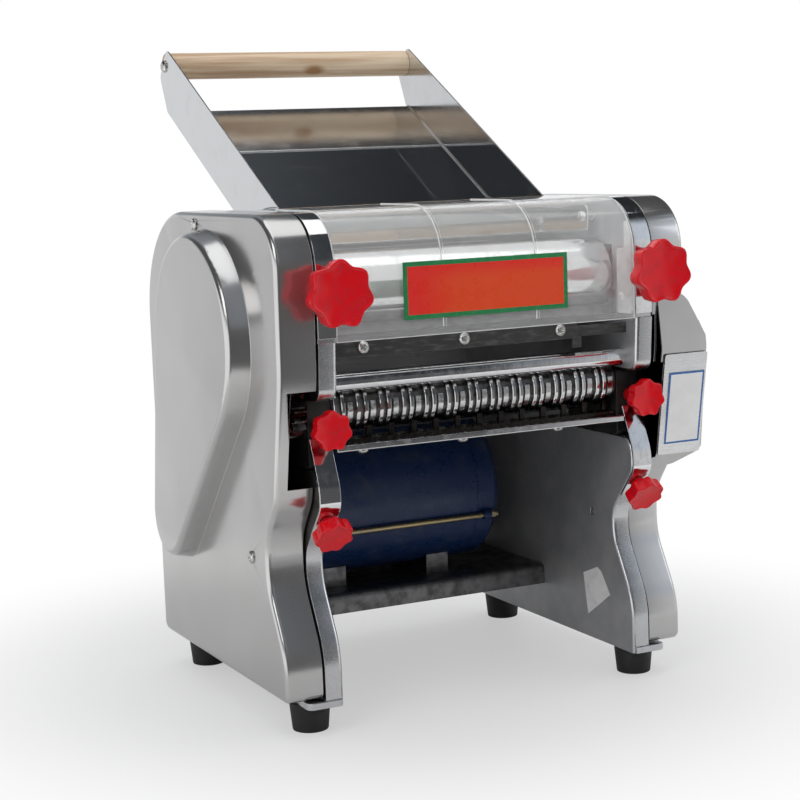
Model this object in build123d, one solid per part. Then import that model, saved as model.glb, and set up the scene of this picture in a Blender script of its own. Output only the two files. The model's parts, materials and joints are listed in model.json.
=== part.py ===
from build123d import *
import math
import os

# Electric pasta maker: rolls dough between two steel rollers and slices it in a ring-cutter cassette.
#
# X runs along the rollers, from the belt side (left) to the switch side (right), -Y is the front, where
# the noodles come out, and Z is up.  Places are worked out from the middle of the four feet, and every
# finished piece is then moved so that the origin is under the middle of the whole machine.

# ---- Driving dimensions, in millimetres --------------------------------------------------------------

# Whole body
inner_width = 244.0          # clear width between the two cast frames
frame_thickness = 14.0
body_top = 370.0             # highest edge of the covers
body_front = -143.0          # front face of the covers and arms, near the top
body_rear = 129.0
body_bottom = 27.0           # lower edge of the side covers
front_top_radius = 39.0
rear_top_radius = 84.0

# Feet
foot_out = 2.0               # from a frame's outer face to the middle of a foot
foot_y = 105.0
foot_height = 21.0
foot_radius_top = 15.0
foot_radius_bottom = 13.0
lug_thickness = 5.0
lug_length = 54.0
lug_reach = 14.0             # how far a lug stands out of the frame
foot_screw_radius = 3.0
foot_recess = 8.0

# Cutter slot and jaw of the frames; the shares are of the slot's height above the table
slot_drop = 41.0             # from the cutters' axes down to the slot's lower edge
slot_height = 50.0
slot_rear = -46.0
nose_front = -133.5          # rounded nose of the lower jaw
nose_share = 0.863
waist_front = -105.0         # narrowest place of the front legs
waist_top_share = 0.684
waist_bottom_share = 0.568
toe_front = -130.5           # front edge near the feet
toe_share = 0.326
leg_edge_radius = 3.0        # on the inner side of the front legs

# Side covers
cover_gap = 1.2              # seam between a frame and its cover
cover_depth = 28.3           # from its open edge to its outer face
cover_wall = 1.5
cover_edge_radius = 4.0
cover_bottom_corner, cover_nose_inset = 8.0, 10.0
cover_screw_low_y = -75.0
cover_screw_rise = 5.0       # of the lower screw, over the middle of the waist
cover_screw_high_behind = 21.35                 # behind the layshaft
cover_screw_drop = 9.0       # of the upper screw, below the covers' top edge
notch_below, notch_above = 52.0, 17.0    # opening for the cutter gears, from the cutters' axes
notch_reach = 19.0
side_gap_below, side_gap_step, side_gap_above = 59.0, 15.0, 51.0
side_gap_wide, side_gap_narrow = 6.7, 2.3         # below and above the step

# Belt housing, a drawn bulge on the left cover
bulge_depth = 17.0
bulge_taper = 12.0
bulge_edge_radius = 5.0

# Switch housing, a drawn bulge on the right cover
housing_depth = 20.5         # in front of the cover's outer face
housing_lap = 23.0           # how far its profile runs back inside that face
housing_flat = 16.5          # width of its flat front, past that face
housing_above = 84.0         # its upper edge, from the switch's middle
shoulder_above = 42.0
housing_below = 51.0
panel_lean_top = -147.0      # front of the housing at the panel's upper edge
panel_lean_bottom = -133.5   # and at its lower edge
housing_corner_y = -128.0
housing_rear = -62.0
housing_runout = 20.0        # length over which it dies into the cover, at the back
panel_width = 38.2
panel_margin = 3.9           # from the panel to the housing's outer face
panel_above, panel_below = 39.0, 40.0    # its edges, from the switch's middle
panel_thickness = 1.5
panel_seat = 0.1             # film of glue behind the panel

# Rollers
roller_radius = 27.5
roller_end_gap = 2.0         # between a roller's end and the frame
roller_gap = 0.4             # thinnest dough setting
roller_drop = 58.0           # from the covers' top edge down to the rollers' axes
front_roller_y = -86.0
roller_edge = 0.8
journal_radius = 12.5
running_clearance = 0.04
scraper_clearance = 0.5
scraper_out = 16.0           # its edge, out from under the roller's axis
scraper_width = 11.0
gap_travel = 3.5
bearing_width = 40.0
bearing_height = 44.0
slide_clearance = 0.1
bush_radius = 20.0

# Gears
roller_teeth = 22
pinion_teeth, wheel_teeth = 12, 42
wheel_module_share = 0.75     # of the module of the gears to the cutters
drive_teeth, cutter_teeth = 27, 17
idler_bow = 1.5              # how much longer the way over the idler is than the straight line
backlash = 0.3               # taken off each tooth's thickness at the pitch circle
pressure_angle = 20.0
gear_clearance = 1.4         # between a frame and the first gear
drive_gear_width = 10.0
wheel_width = 9.0
roller_gear_width = 12.0
layshaft_radius = 6.0
idler_stud_radius, idler_spigot_radius = 7.0, 5.0
layshaft_angle = 60.0        # direction from the rear roller, down and to the back

# Belt drive
big_pulley_radius = 64.0     # pitch radii
small_pulley_radius = 22.0
pulley_width, pulley_dish = 12.0, 3.5            # the dish is on each side of the big pulley's web
belt_width = 8.0
belt_thickness = 6.0
belt_clearance = 0.3
big_housing_clearance = 17.0     # from a pulley's pitch circle to the foot of the belt housing
small_housing_clearance = 12.0

# Motor
motor_y, motor_z = 62.0, 134.0
motor_radius = 61.3
motor_shaft_radius = 7.0
motor_left_gap, motor_right_gap = 18.0, 38.0     # between the motor's ends and the frames
motor_bell_length = 22.0
motor_plate_drop = 67.0      # from the motor's axis down to its shelf
motor_plate_thickness = 4.0
motor_plate_front, motor_plate_fold = 2.0, 16.0
motor_bolt_radius = 2.2
motor_bolt_circle = 64.0
motor_bolt_turn = 197.0      # direction of the bolt low at the motor's front
motor_ear_radius = 3.8
motor_ear_start, motor_ear_end = 12.0, 3.0       # from the ends of a bell
saddle_half_width, saddle_half_length, saddle_inset = 10.0, 34.0, 48.0
back_panel_front = 47.0
back_panel_drop = 8.5        # below the frames' top edge, to pass under the hopper

# Ring cutters
disc_width = 9.0             # also the width of a noodle
disc_side_clearance = 0.12
disc_groove_width, disc_groove_depth = 3.0, 1.7  # turned into the rim of every disc
cutter_radius = 18.0
cutter_overlap = 2.0         # how far the discs of one cutter reach between those of the other
core_clearance = 1.5
cutter_drop = 81.0           # from the rollers' axes down to the cutters' axes
front_cutter_y = -104.0
cutter_journal_radius = 6.5
block_proud = 3.5            # how far the cassette's end blocks stand inside the frames
block_front = -119.0
block_clearance = 0.5
bar_thickness = 4.5
bar_depth = 22.0
bar_drop = 24.5              # from the cutters' axes down to the bar's upper face
bar_front = -129.0
bar_screw_in = 5.5           # from the bar's front edge to its screws
finger_width = 4.0
finger_thickness = 1.2
finger_clearance = 0.4
finger_start, finger_middle, finger_end = -196.0, -106.0, -16.0  # degrees round the core
comb_depth = 14.0
comb_thickness = 2.0
comb_spine_out = 6.0         # from under a cutter's axis to the middle of its comb's spine
cutter_stud_radius = 4.0
screw_left_in, screw_right_in = 25.0, 15.0       # rail and bar screws: left frame to the first,
                                                 # last to the rail's right end

# Tie rods
tie_rod_radius = 6.8
tie_rod_rise = 10.5          # over the slot's upper edge, in line with the front cutter's rim
rear_tie_in, rear_tie_drop = 28.0, 45.0          # upper rear rod, from the back and from the top
low_tie_in, low_tie_height = 14.0, 80.0
spigot_radius, spigot_length = 5.0, 9.0

# Knobs
big_knob_radius = 24.0
big_knob_thickness = 13.0
big_knob_front = -171.0
big_knob_rise = 4.0          # over the rollers' axes
small_knob_radius = 14.5
small_knob_thickness = 10.0
cutter_knob_front = -147.3
cutter_knob_drop = 10.5      # below the cutters' axes
knob_lobes = 7
stud_radius = 6.0

# Clips
clip_thickness = 2.0
clip_width = 16.0
clip_clearance = 0.4
knob_stand = 7.0             # from the clip to its knob's grip
clip_stud_y = -127.0         # where the stud leaves the lower slope of the nose
clip_tail = 16.0             # from the stud to the clip's lower end
clip_gap = 0.5               # between the clip and the end block
clip_top_rise = 22.0         # its upper end, over the slot's lower edge
clip_stud_radius = 4.0

# Guard
guard_thickness = 3.0
guard_front = -142.0
guard_rise = 1.0             # over the covers' top edge
guard_drop = 31.5            # its lower edge, below the rollers' axes
guard_rear = -40.0
guard_bracket_rear, bracket_thickness = -119.5, 2.2
guard_step_rise = 20.0       # of the brackets' step, over the rollers' axes
guard_rib_x = 38.0
rib_rise, rib_half_width = 0.9, 1.2
rail_drop = 32.0             # its upper edge, below the rollers' axes
rail_height = 12.0
rail_front = -131.0
rail_depth = 7.0
rail_right_gap = 44.0        # from its right end to the frame

# Trim strips
strip_thickness = 1.5
strip_drop = 28.0            # its lower end, below the rollers' axes
strip_gap = 3.0
strip_rear = 20.0

# Hopper
hopper_side_gap = 10.0       # from a side plate's inner face to the frame
hopper_sheet = 1.2
hopper_slope = 29.3          # degrees
hopper_plate_height = 46.5   # measured square to its edges
hopper_length = 170.0        # along the slope, from the tray's fold to its upper end
hopper_front = -92.0
lip_clearance = 3.0          # between the rollers and the lower edge of the side plates
tray_fold_y, tray_fold_drop = 61.0, 3.0          # the drop is from the covers' top edge
tray_end_y, tray_end_rise = -37.0, 0.5           # the rise is over the plates' lower edge
front_bolt_in, front_bolt_rise = 8.0, 13.5       # from the plates' front and their lower edge
rear_bolt_in, rear_bolt_rise = 17.0, 10.0        # from the tray's lower end
wood_radius = 11.0
wood_along, wood_above = 19.5, 31.5              # past the tray's end, and square to the tray

# Switch
rocker_radius = 10.9
rocker_width = 15.0
bezel_margin = 4.0
rocker_tilt = 9.0
rocker_pin_radius, rocker_pin_reach = 1.2, 1.1
bezel_wall, bezel_depth = 1.6, 15.0
switch_y, switch_drop = -94.0, 17.0              # the drop is from the cutters' axes

# Cable gland in the back
gland_in, gland_z = 14.8, 56.0                   # from the cover's open edge
gland_thread_radius, gland_hex_radius, gland_bore_radius = 8.0, 11.0, 3.4

# ---- Places worked out from the dimensions above -----------------------------------------------------

frame_inner_x = inner_width / 2
frame_outer_x = frame_inner_x + frame_thickness
cover_inner_x = frame_outer_x + cover_gap
cover_face_x = cover_inner_x + cover_depth
housing_face_x = cover_face_x + housing_depth
housing_inner_x = cover_face_x - housing_lap
foot_x = frame_outer_x + foot_out
knob_x = frame_inner_x + frame_thickness / 2
block_inner_x = frame_inner_x - block_proud
hopper_plate_x = frame_inner_x - hopper_side_gap
gland_x = cover_inner_x + gland_in
roller_length = inner_width - 2 * roller_end_gap
motor_left, motor_right = motor_left_gap - frame_inner_x, frame_inner_x - motor_right_gap
rail_end = frame_inner_x - rail_right_gap
screw_first_x, screw_last_x = screw_left_in - frame_inner_x, rail_end - screw_right_in

roller_height = body_top - roller_drop
cutter_height = roller_height - cutter_drop
slot_bottom = cutter_height - slot_drop
slot_top = slot_bottom + slot_height
nose_slope_top = nose_share * slot_bottom
waist_top, waist_bottom = waist_top_share * slot_bottom, waist_bottom_share * slot_bottom
toe_top = toe_share * slot_bottom
tie_rod_y, tie_rod_z = front_cutter_y - cutter_radius, slot_top + tie_rod_rise
big_knob_z = roller_height + big_knob_rise
cutter_knob_z = cutter_height - cutter_knob_drop
bar_top = cutter_height - bar_drop
strip_bottom = roller_height - strip_drop
guard_top, guard_bottom = body_top + guard_rise, roller_height - guard_drop
rail_top = roller_height - rail_drop
rail_bottom = rail_top - rail_height
lip_height = roller_height + roller_radius + lip_clearance
tray_fold_z, tray_end_z = body_top - tray_fold_drop, lip_height + tray_end_rise
switch_z = cutter_height - switch_drop
housing_top, housing_shoulder = switch_z + housing_above, switch_z + shoulder_above
housing_bottom = switch_z - housing_below
panel_top, panel_bottom = switch_z + panel_above, switch_z - panel_below
motor_plate_top = motor_z - motor_plate_drop

cutter_spacing = 2 * cutter_radius - cutter_overlap
cutter_core_radius = cutter_spacing - cutter_radius - core_clearance
drive_module = cutter_spacing / cutter_teeth
wheel_module = wheel_module_share * drive_module
roller_module = 2 * roller_radius / roller_teeth
disc_count = int((block_inner_x - 1.0) / disc_width)
rear_roller_y = front_roller_y + 2 * roller_radius + roller_gap
rear_cutter_y = front_cutter_y + cutter_spacing
idler_way = math.hypot(rear_roller_y - rear_cutter_y, cutter_drop) + idler_bow
idler_teeth = math.ceil(idler_way / drive_module - (drive_teeth + cutter_teeth) / 2)
layshaft_distance = wheel_module * (pinion_teeth + wheel_teeth) / 2
layshaft_y = rear_roller_y + layshaft_distance * math.cos(math.radians(layshaft_angle))
layshaft_z = roller_height - layshaft_distance * math.sin(math.radians(layshaft_angle))
cover_screw_high_y = layshaft_y + cover_screw_high_behind
first_gear_x = frame_outer_x + gear_clearance
cutter_half_length = disc_count * disc_width
pulley_outer_x = cover_face_x + bulge_depth - cover_wall - 2.0
slope_direction = Vector(0, nose_front - waist_front, nose_slope_top - waist_top).normalized()
stud_direction = Vector(0, -slope_direction.Z, slope_direction.Y)
clip_stud_z = waist_top + (clip_stud_y - waist_front) * slope_direction.Z / slope_direction.Y
knob_reach = clip_clearance + clip_thickness + knob_stand
pivot_x = housing_face_x - 2.0
tray_angle = math.radians(hopper_slope)
hopper_rear_y = tray_fold_y + (hopper_length + 27.0) * math.cos(tray_angle) - 18.0 * math.sin(tray_angle)
origin_y = (big_knob_front + hopper_rear_y - 1.0) / 2        # its round corner ends 1 mm short


# ---- Helpers -----------------------------------------------------------------------------------------

def face_of(points, radii):
    """Closed outline, rounded where a radius isn't zero, as far as the neighbouring edges allow."""
    corners = [(Vector(*p), r) for p, r in zip(points, fitted_radii(points, radii))]
    count = len(corners)
    edges, last = [], None
    starts = []
    for i, (corner, radius) in enumerate(corners):
        before = (corners[i - 1][0] - corner).normalized()
        after = (corners[(i + 1) % count][0] - corner).normalized()
        if radius == 0:
            starts.append((corner, corner, None))
            continue
        half_turn = before.get_angle(after) / 2
        reach = radius / math.tan(math.radians(half_turn))
        bulge = radius * (1 / math.sin(math.radians(half_turn)) - 1)
        middle = corner + (before + after).normalized() * bulge
        starts.append((corner + before * reach, corner + after * reach, middle))
    for entry, leave, middle in starts:
        if last is not None and (entry - last).length > 1e-6:
            edges.append(Line(last, entry))
        if middle is not None:
            edges.append(ThreePointArc(entry, middle, leave))
        last = leave
    if (starts[0][0] - last).length > 1e-6:
        edges.append(Line(last, starts[0][0]))
    return make_face(edges)


def fitted_radii(points, radii):
    """The corners' radii, less where two of them would need more than the edge between them."""
    corners = [Vector(*p) for p in points]
    count = len(corners)
    reaches = []
    for i, (corner, radius) in enumerate(zip(corners, radii)):
        turn = (corners[i - 1] - corner).get_angle(corners[(i + 1) % count] - corner)
        reaches.append(radius / math.tan(math.radians(turn / 2)))
    shares = [1.0] * count
    for i, corner in enumerate(corners):
        after = (i + 1) % count
        needed, edge = reaches[i] + reaches[after], (corners[after] - corner).length
        if needed > edge + 1e-6:
            shares[i], shares[after] = min(shares[i], edge / needed), min(shares[after], edge / needed)
    return [radius * share for radius, share in zip(radii, shares)]


def bent_face(points, radii, thickness):
    """Section of a bent sheet: the path is its right-hand surface, and the sheet lies to the left."""
    path = [Vector(*p) for p in points]
    lefts = []
    for a, b in zip(path, path[1:]):
        run = (b - a).normalized()
        lefts.append(Vector(-run.Y, run.X) * thickness)
    other, other_radii = [path[0] + lefts[0]], []
    for i in range(1, len(path) - 1):
        bisector = (lefts[i - 1] + lefts[i]).normalized()
        other.append(path[i] + bisector * (thickness ** 2 / bisector.dot(lefts[i])))
        turn = lefts[i - 1].X * lefts[i].Y - lefts[i - 1].Y * lefts[i].X
        other_radii.append(radii[i - 1] - thickness if turn > 0 else radii[i - 1] + thickness)
    other.append(path[-1] + lefts[-1])
    outline = [tuple(v)[:2] for v in path + other[::-1]]
    return face_of(outline, [0, *radii, 0, 0, *other_radii[::-1], 0])


def across(face, x0, x1):
    """Extrude a (Y, Z) face along X."""
    return extrude(Plane.YZ.offset(min(x0, x1)) * face, amount=abs(x1 - x0))


def along_y(face, y0, y1):
    """Extrude an (X, Z) face along Y."""
    return extrude(Plane.XZ.offset(-max(y0, y1)) * face, amount=abs(y1 - y0))


def upward(face, z0, z1):
    """Extrude an (X, Y) face along Z."""
    return extrude(Plane.XY.offset(z0) * face, amount=z1 - z0)


def block(x0, x1, y0, y1, z0, z1):
    """Box between two corners."""
    middle = Pos((x0 + x1) / 2, (y0 + y1) / 2, (z0 + z1) / 2)
    return middle * Box(abs(x1 - x0), abs(y1 - y0), abs(z1 - z0))


def rod_x(radius, x0, x1, y, z):
    return Pos((x0 + x1) / 2, y, z) * Rot(0, 90, 0) * Cylinder(radius, abs(x1 - x0))


def rod_y(radius, y0, y1, x, z):
    return Pos(x, (y0 + y1) / 2, z) * Rot(90, 0, 0) * Cylinder(radius, abs(y1 - y0))


def rod_z(radius, z0, z1, x, y):
    return Pos(x, y, (z0 + z1) / 2) * Cylinder(radius, abs(z1 - z0))


def mirrored(shape):
    """The same piece on the other side of the machine."""
    return mirror(shape, about=Plane.YZ)


def both(shape):
    """A pair, one on each side of the machine."""
    return Compound(children=[Solid(s.wrapped) for s in (*shape.solids(), *mirrored(shape).solids())])


def group(shapes):
    """Several loose solids that share one node."""
    return Compound(children=[Solid(s.wrapped) for shape in shapes for s in shape.solids()])


def dome_screw(head_radius, head_height, shank_radius=0.0, shank_length=0.0):
    """Low-domed screw standing on the XY plane, shank down; without a shank, its head alone."""
    head = Pos(0, 0, head_height / 2) * Cylinder(head_radius, head_height)
    crown, side = head.edges().sort_by(Axis.Z)[-1], head.faces().filter_by(GeomType.CYLINDER)[0]
    head = chamfer(crown, length=head_height * 0.55, length2=head_radius * 0.35, reference=side)
    if shank_length:
        head += rod_z(shank_radius, -shank_length, 0.1, 0, 0)
    return head


# ---- Frames and covers -------------------------------------------------------------------------------

def leg_corners(inset):
    """Front edge of a leg from the slot down, shared by the frames."""
    return ([(nose_front + inset, slot_bottom), (nose_front + inset, nose_slope_top),
             (waist_front + inset, waist_top), (waist_front + inset, waist_bottom),
             (toe_front + inset, toe_top), (toe_front + inset, foot_height)],
            [17, 12, 22, 44, 60, 0])


def frame_face():
    """Side view of a cast frame: arm, cutter slot, nosed jaw and a waisted leg."""
    top = body_top - strip_thickness
    front = body_front + strip_thickness
    leg, leg_radii = leg_corners(0)
    points = [(front, top), (front, strip_bottom - strip_gap), (body_front, strip_bottom - strip_gap),
              (body_front + 3, slot_top), (slot_rear, slot_top), (slot_rear, slot_bottom), *leg,
              (body_rear, foot_height), (body_rear, top)]
    radii = [front_top_radius - strip_thickness, 0, 0, 10, 5, 5, *leg_radii, 6,
             rear_top_radius - strip_thickness]
    return face_of(points, radii)


def bearing_window():
    """Opening in a frame in which the front roller's bearing slides."""
    half = bearing_width / 2 + slide_clearance
    high = bearing_height / 2 + slide_clearance
    return block(frame_inner_x - 1, frame_outer_x + 1, front_roller_y - half - gap_travel,
                 front_roller_y + half, roller_height - high, roller_height + high)


def lug(y):
    """Cast lug over a foot, for the foot's screw."""
    lug_block = block(frame_inner_x + 2, frame_outer_x + lug_reach, y - lug_length / 2,
                      y + lug_length / 2, foot_height, foot_height + lug_thickness)
    return fillet(lug_block.edges().filter_by(Axis.Z).group_by(Axis.X)[-1], 5)


def frame():
    """Right-hand cast frame."""
    body = across(frame_face(), frame_inner_x, frame_outer_x)
    inside = body.faces().sort_by(Axis.X)[0].edges()
    leg = inside.filter_by_position(Axis.Z, foot_height + 1, slot_bottom).filter_by_position(
        Axis.Y, nose_front - 1, waist_front + 5)
    body = fillet(leg, leg_edge_radius)
    body += [lug(-foot_y), lug(foot_y)]
    body -= bearing_window()
    body -= rod_y(stud_radius + 0.1, body_front - 1, front_roller_y - bearing_width / 2, knob_x, big_knob_z)
    body -= rod_x(bush_radius, frame_inner_x - 1, frame_outer_x + 1, rear_roller_y, roller_height)
    for y, z in tie_places():
        body -= rod_x(spigot_radius, frame_inner_x - 1, frame_inner_x + spigot_length + 1, y, z)
    for y, z in standoff_places():
        body -= rod_x(3.0, frame_inner_x - 1, frame_outer_x + 1, y, z)
    for y in (-foot_y, foot_y):
        body -= rod_z(foot_screw_radius, foot_height - 1, foot_height + lug_thickness * 0.9, foot_x, y)
    body -= stud_plane(-4) * Cylinder(clip_stud_radius + 0.08, 12)
    return body


def left_frame():
    body = mirrored(frame())
    bearing = layshaft_radius + running_clearance
    body -= rod_x(bearing, -frame_outer_x - 1, -frame_inner_x + 1, layshaft_y, layshaft_z)
    body -= rod_x(motor_shaft_radius + 8, -frame_outer_x - 1, -frame_inner_x + 1, motor_y, motor_z)
    y, z = idler_place()
    body -= rod_x(idler_spigot_radius, -frame_outer_x - 1, -frame_inner_x - 4, y, z)
    return body


def cover_face(inset):
    """Side view of a drawn cover, drawn in by the inset on every side."""
    nose, waist = nose_front + cover_nose_inset + inset, waist_front + 2.0 + inset
    toe = toe_front + 1.0 + inset
    rear, low = body_rear + cover_wall - inset, body_bottom + inset
    points = [(body_front + inset, body_top - inset), (body_front + 2.5 + inset, slot_top + 18.0),
              (nose, nose_slope_top + 4.0), (waist, waist_top + 11.0), (waist, waist_bottom),
              (toe, toe_top - 2.0), (toe, low), (rear, low), (rear, body_top - inset)]
    radii = [front_top_radius - inset, 120, 25 + inset, 40 + inset, 50 - inset, 60 - inset,
             cover_bottom_corner - 2 - inset, cover_bottom_corner - inset, rear_top_radius - inset]
    return face_of(points, radii)


def cover_pan(inset, face_x):
    """Right-hand pan, up to its outer face, with its drawn edge rounded."""
    pan = across(cover_face(inset), cover_inner_x - (1 if inset else 0), face_x)
    rim = pan.faces().sort_by(Axis.X)[-1].edges()
    return chamfer(rim, cover_edge_radius - inset - 1.0) if inset else fillet(rim, cover_edge_radius)


def round_run(big_radius, small_radius):
    """Face about both pulley centres: an arc round each, joined by their outer tangents."""
    big, small = Vector(layshaft_y, layshaft_z), Vector(motor_y, motor_z)
    along = (small - big).normalized()
    aside = Vector(-along.Y, along.X)
    cosine = (big_radius - small_radius) / (small - big).length
    sine = math.sqrt(1 - cosine ** 2)
    one, other = along * cosine + aside * sine, along * cosine - aside * sine
    return make_face([
        Line(big + one * big_radius, small + one * small_radius),
        ThreePointArc(small + one * small_radius, small + along * small_radius, small + other * small_radius),
        Line(small + other * small_radius, big + other * big_radius),
        ThreePointArc(big + other * big_radius, big - along * big_radius, big + one * big_radius)])


def belt_housing(inset):
    """Drawn bulge over the belt drive, on the left."""
    big = big_pulley_radius + big_housing_clearance - inset
    small = small_pulley_radius + small_housing_clearance - inset
    depth, lead = bulge_depth - inset, cover_wall + 1
    slope = math.tan(math.radians(bulge_taper))
    foot_run = round_run(big + lead * slope, small + lead * slope)
    top_run = round_run(big - depth * slope, small - depth * slope)
    bulge = loft([Plane.YZ.offset(lead - cover_face_x) * foot_run,
                  Plane.YZ.offset(-cover_face_x - depth) * top_run])
    rim = bulge.faces().sort_by(Axis.X)[0].edges()
    return chamfer(rim, bulge_edge_radius - inset - 1.5) if inset else fillet(rim, bulge_edge_radius)


def left_cover():
    outside = mirrored(cover_pan(0, cover_face_x)) + belt_housing(0)
    inside = mirrored(cover_pan(cover_wall, cover_face_x - cover_wall)) + belt_housing(cover_wall)
    cover = outside - inside
    cover -= block(-cover_inner_x - notch_reach, -cover_inner_x + 1, body_front - 10, block_front + 10,
                   cutter_height - notch_below, cutter_height + notch_above)
    for y, z in standoff_places():
        cover -= rod_x(2.6, -cover_face_x - 1, -cover_face_x + 3, y, z)
    return cover


def switch_housing(inset):
    """Drawn bulge that holds the switch: three crossing profiles share one faceted form."""
    start, face, corner = housing_inner_x - 1, housing_face_x - inset, cover_face_x + housing_flat
    top, low, rear = housing_top - inset, housing_bottom + inset, housing_rear + housing_runout - inset
    front = face_of([(start, top), (cover_face_x, top), (face, housing_shoulder - inset),
                     (face, panel_bottom + 2), (cover_face_x, low), (start, low)], [0, 16, 14, 14, 10, 0])
    side = face_of([(body_front + cover_wall + inset, top), (panel_lean_top + inset, housing_shoulder),
                    (panel_lean_bottom + inset, panel_bottom), (panel_lean_bottom + 12.5 + inset, low),
                    (rear, low), (rear, top)], [0, 12, 8, 0, 0, 0])
    plan = face_of([(start, body_front - 20), (corner, body_front - 20), (corner, panel_lean_top + inset + 2),
                    (face, housing_corner_y), (face, housing_rear), (cover_face_x - 4, rear),
                    (start, rear)], [0, 0, 3, 12, 12, 0, 0])
    form = along_y(front, body_front - 20, housing_rear + housing_runout + 5)
    form &= across(side, housing_inner_x - 1, housing_face_x + 5)
    form &= upward(plan, housing_bottom - 5, housing_top + 5)
    return form


def side_slot():
    """Gap in the right cover's front beside the frame: a narrow slit above, wider at the cutters."""
    start, front, rear = cover_inner_x - 2, body_front - 12, block_front + 24
    step = cutter_height + side_gap_step
    wide = block(start, cover_inner_x + side_gap_wide, front, rear, cutter_height - side_gap_below, step)
    return wide + block(start, cover_inner_x + side_gap_narrow, front, rear, step - 1,
                        cutter_height + side_gap_above)


def right_cover():
    cover = cover_pan(0, cover_face_x) + switch_housing(0)
    cover -= cover_pan(cover_wall, cover_face_x - cover_wall) + switch_housing(cover_wall)
    cover -= side_slot()
    half_width, half_height = rocker_width / 2 + bezel_wall + 0.4, rocker_radius + bezel_wall + 0.6
    cover -= block(housing_face_x - 5, housing_face_x + 1, switch_y - half_width, switch_y + half_width,
                   switch_z - half_height, switch_z + half_height)
    for y, z in standoff_places():
        cover -= rod_x(2.6, cover_face_x - 3, cover_face_x + 1, y, z)
    cover -= rod_y(gland_thread_radius, body_rear - 6, body_rear + 6, gland_x, gland_z)
    return cover


# ---- Places of screws and shafts ---------------------------------------------------------------------

def standoff_places():
    """(y, z) of the posts that hold each side cover off its frame."""
    low = (waist_bottom + waist_top) / 2 + cover_screw_rise
    return [(cover_screw_low_y, low), (cover_screw_high_y, body_top - cover_screw_drop)]


def tie_places():
    """(y, z) of the rods between the frames: one at the front, two at the back."""
    return [(tie_rod_y, tie_rod_z), (body_rear - rear_tie_in, body_top - rear_tie_drop),
            (body_rear - low_tie_in, low_tie_height)]


def idler_place():
    """Centre of the idler: in mesh with the rear roller's gear and with the rear cutter's."""
    from_roller = drive_module * (drive_teeth + idler_teeth) / 2
    from_cutter = drive_module * (idler_teeth + cutter_teeth) / 2
    y_run, z_run = rear_cutter_y - rear_roller_y, cutter_height - roller_height
    apart = math.hypot(y_run, z_run)
    along = (from_roller ** 2 - from_cutter ** 2 + apart ** 2) / (2 * apart)
    aside = math.sqrt(from_roller ** 2 - along ** 2)
    return (rear_roller_y + (along * y_run + aside * z_run) / apart,
            roller_height + (along * z_run - aside * y_run) / apart)


def slope_point(along, above):
    """A point of the hopper, measured up its slope from the tray's fold and square to the tray."""
    return (tray_fold_y + along * math.cos(tray_angle) - above * math.sin(tray_angle),
            tray_fold_z + along * math.sin(tray_angle) + above * math.cos(tray_angle))


# ---- Feet and tie rods -------------------------------------------------------------------------------

def foot():
    """Rubber foot, recessed underneath for its screw."""
    body = Pos(0, 0, foot_height / 2) * Cone(foot_radius_bottom, foot_radius_top, foot_height)
    body -= rod_z(6.0, -1, foot_recess, 0, 0)
    body -= rod_z(foot_screw_radius + 0.1, 0, foot_height + 1, 0, 0)
    return body


def foot_places():
    return [Pos(x, y, 0) for x in (-foot_x, foot_x) for y in (-foot_y, foot_y)]


def feet():
    return group(place * foot() for place in foot_places())


def tie_rod(y, z):
    """Bright spacer rod between the frames, with a spigot into each."""
    rod = rod_x(tie_rod_radius, -frame_inner_x, frame_inner_x, y, z)
    reach = frame_inner_x + spigot_length
    return rod + rod_x(spigot_radius - 0.05, -reach, reach, y, z)


def tie_rods():
    return group(tie_rod(y, z) for y, z in tie_places())


# ---- Cover fastenings and panel ----------------------------------------------------------------------

def cover_standoffs():
    posts = []
    for y, z in standoff_places():
        post = rod_x(5.0, frame_outer_x, cover_face_x - cover_wall, y, z)
        post += rod_x(2.95, frame_outer_x - 10, frame_outer_x, y, z)
        posts.append(post - rod_x(2.6, cover_face_x - cover_wall - 12, cover_face_x, y, z))
    return group([both(post) for post in posts])


def cover_screws():
    screw = dome_screw(4.6, 2.6, 2.5, 12.0)
    right = [Pos(cover_face_x, y, z) * Rot(0, 90, 0) * screw for y, z in standoff_places()]
    return group([both(s) for s in right])


def panel_plane():
    """Leaning front of the switch housing: X across, Y up the lean, Z forward out of the panel."""
    up = Vector(0, panel_lean_top - panel_lean_bottom, housing_shoulder - panel_bottom).normalized()
    out = Vector(0, -up.Z, up.Y)
    middle = housing_face_x - panel_margin - panel_width / 2
    foot_of_lean = Vector(middle, panel_lean_bottom, panel_bottom)
    return Plane(origin=foot_of_lean + out * panel_seat, x_dir=(1, 0, 0), z_dir=out)


def switch_panel():
    """Flat plate for the operating label, glued to the leaning front of the switch housing."""
    height = panel_top - panel_bottom
    sheet = RectangleRounded(panel_width, height, 2.0)
    return extrude(panel_plane() * Pos(0, height / 2, 0) * sheet, amount=panel_thickness)


def trim_strip():
    """Polished strip round the edge of the right frame's arm, with a hole for the setting screw."""
    front, top = body_front + strip_thickness, body_top - strip_thickness
    path = [(strip_rear, top), (front, top), (front, strip_bottom)]
    section = bent_face(path[::-1], [front_top_radius - strip_thickness], strip_thickness)
    strip = across(section, frame_inner_x, frame_outer_x)
    return strip - rod_y(stud_radius + 0.6, body_front - 5, body_front + 8, knob_x, big_knob_z)


# ---- Rollers and their bearings ----------------------------------------------------------------------

def roller(left_end, right_end, y):
    """Ground steel roller with its journals, edges broken."""
    barrel = Rot(0, 90, 0) * Cylinder(roller_radius, roller_length)
    barrel = chamfer(barrel.edges(), roller_edge)
    body = Pos(0, y, roller_height) * barrel
    return body + rod_x(journal_radius, left_end, right_end, y, roller_height)


def front_roller():
    return roller(-frame_outer_x, first_gear_x + roller_gear_width, front_roller_y)


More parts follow.
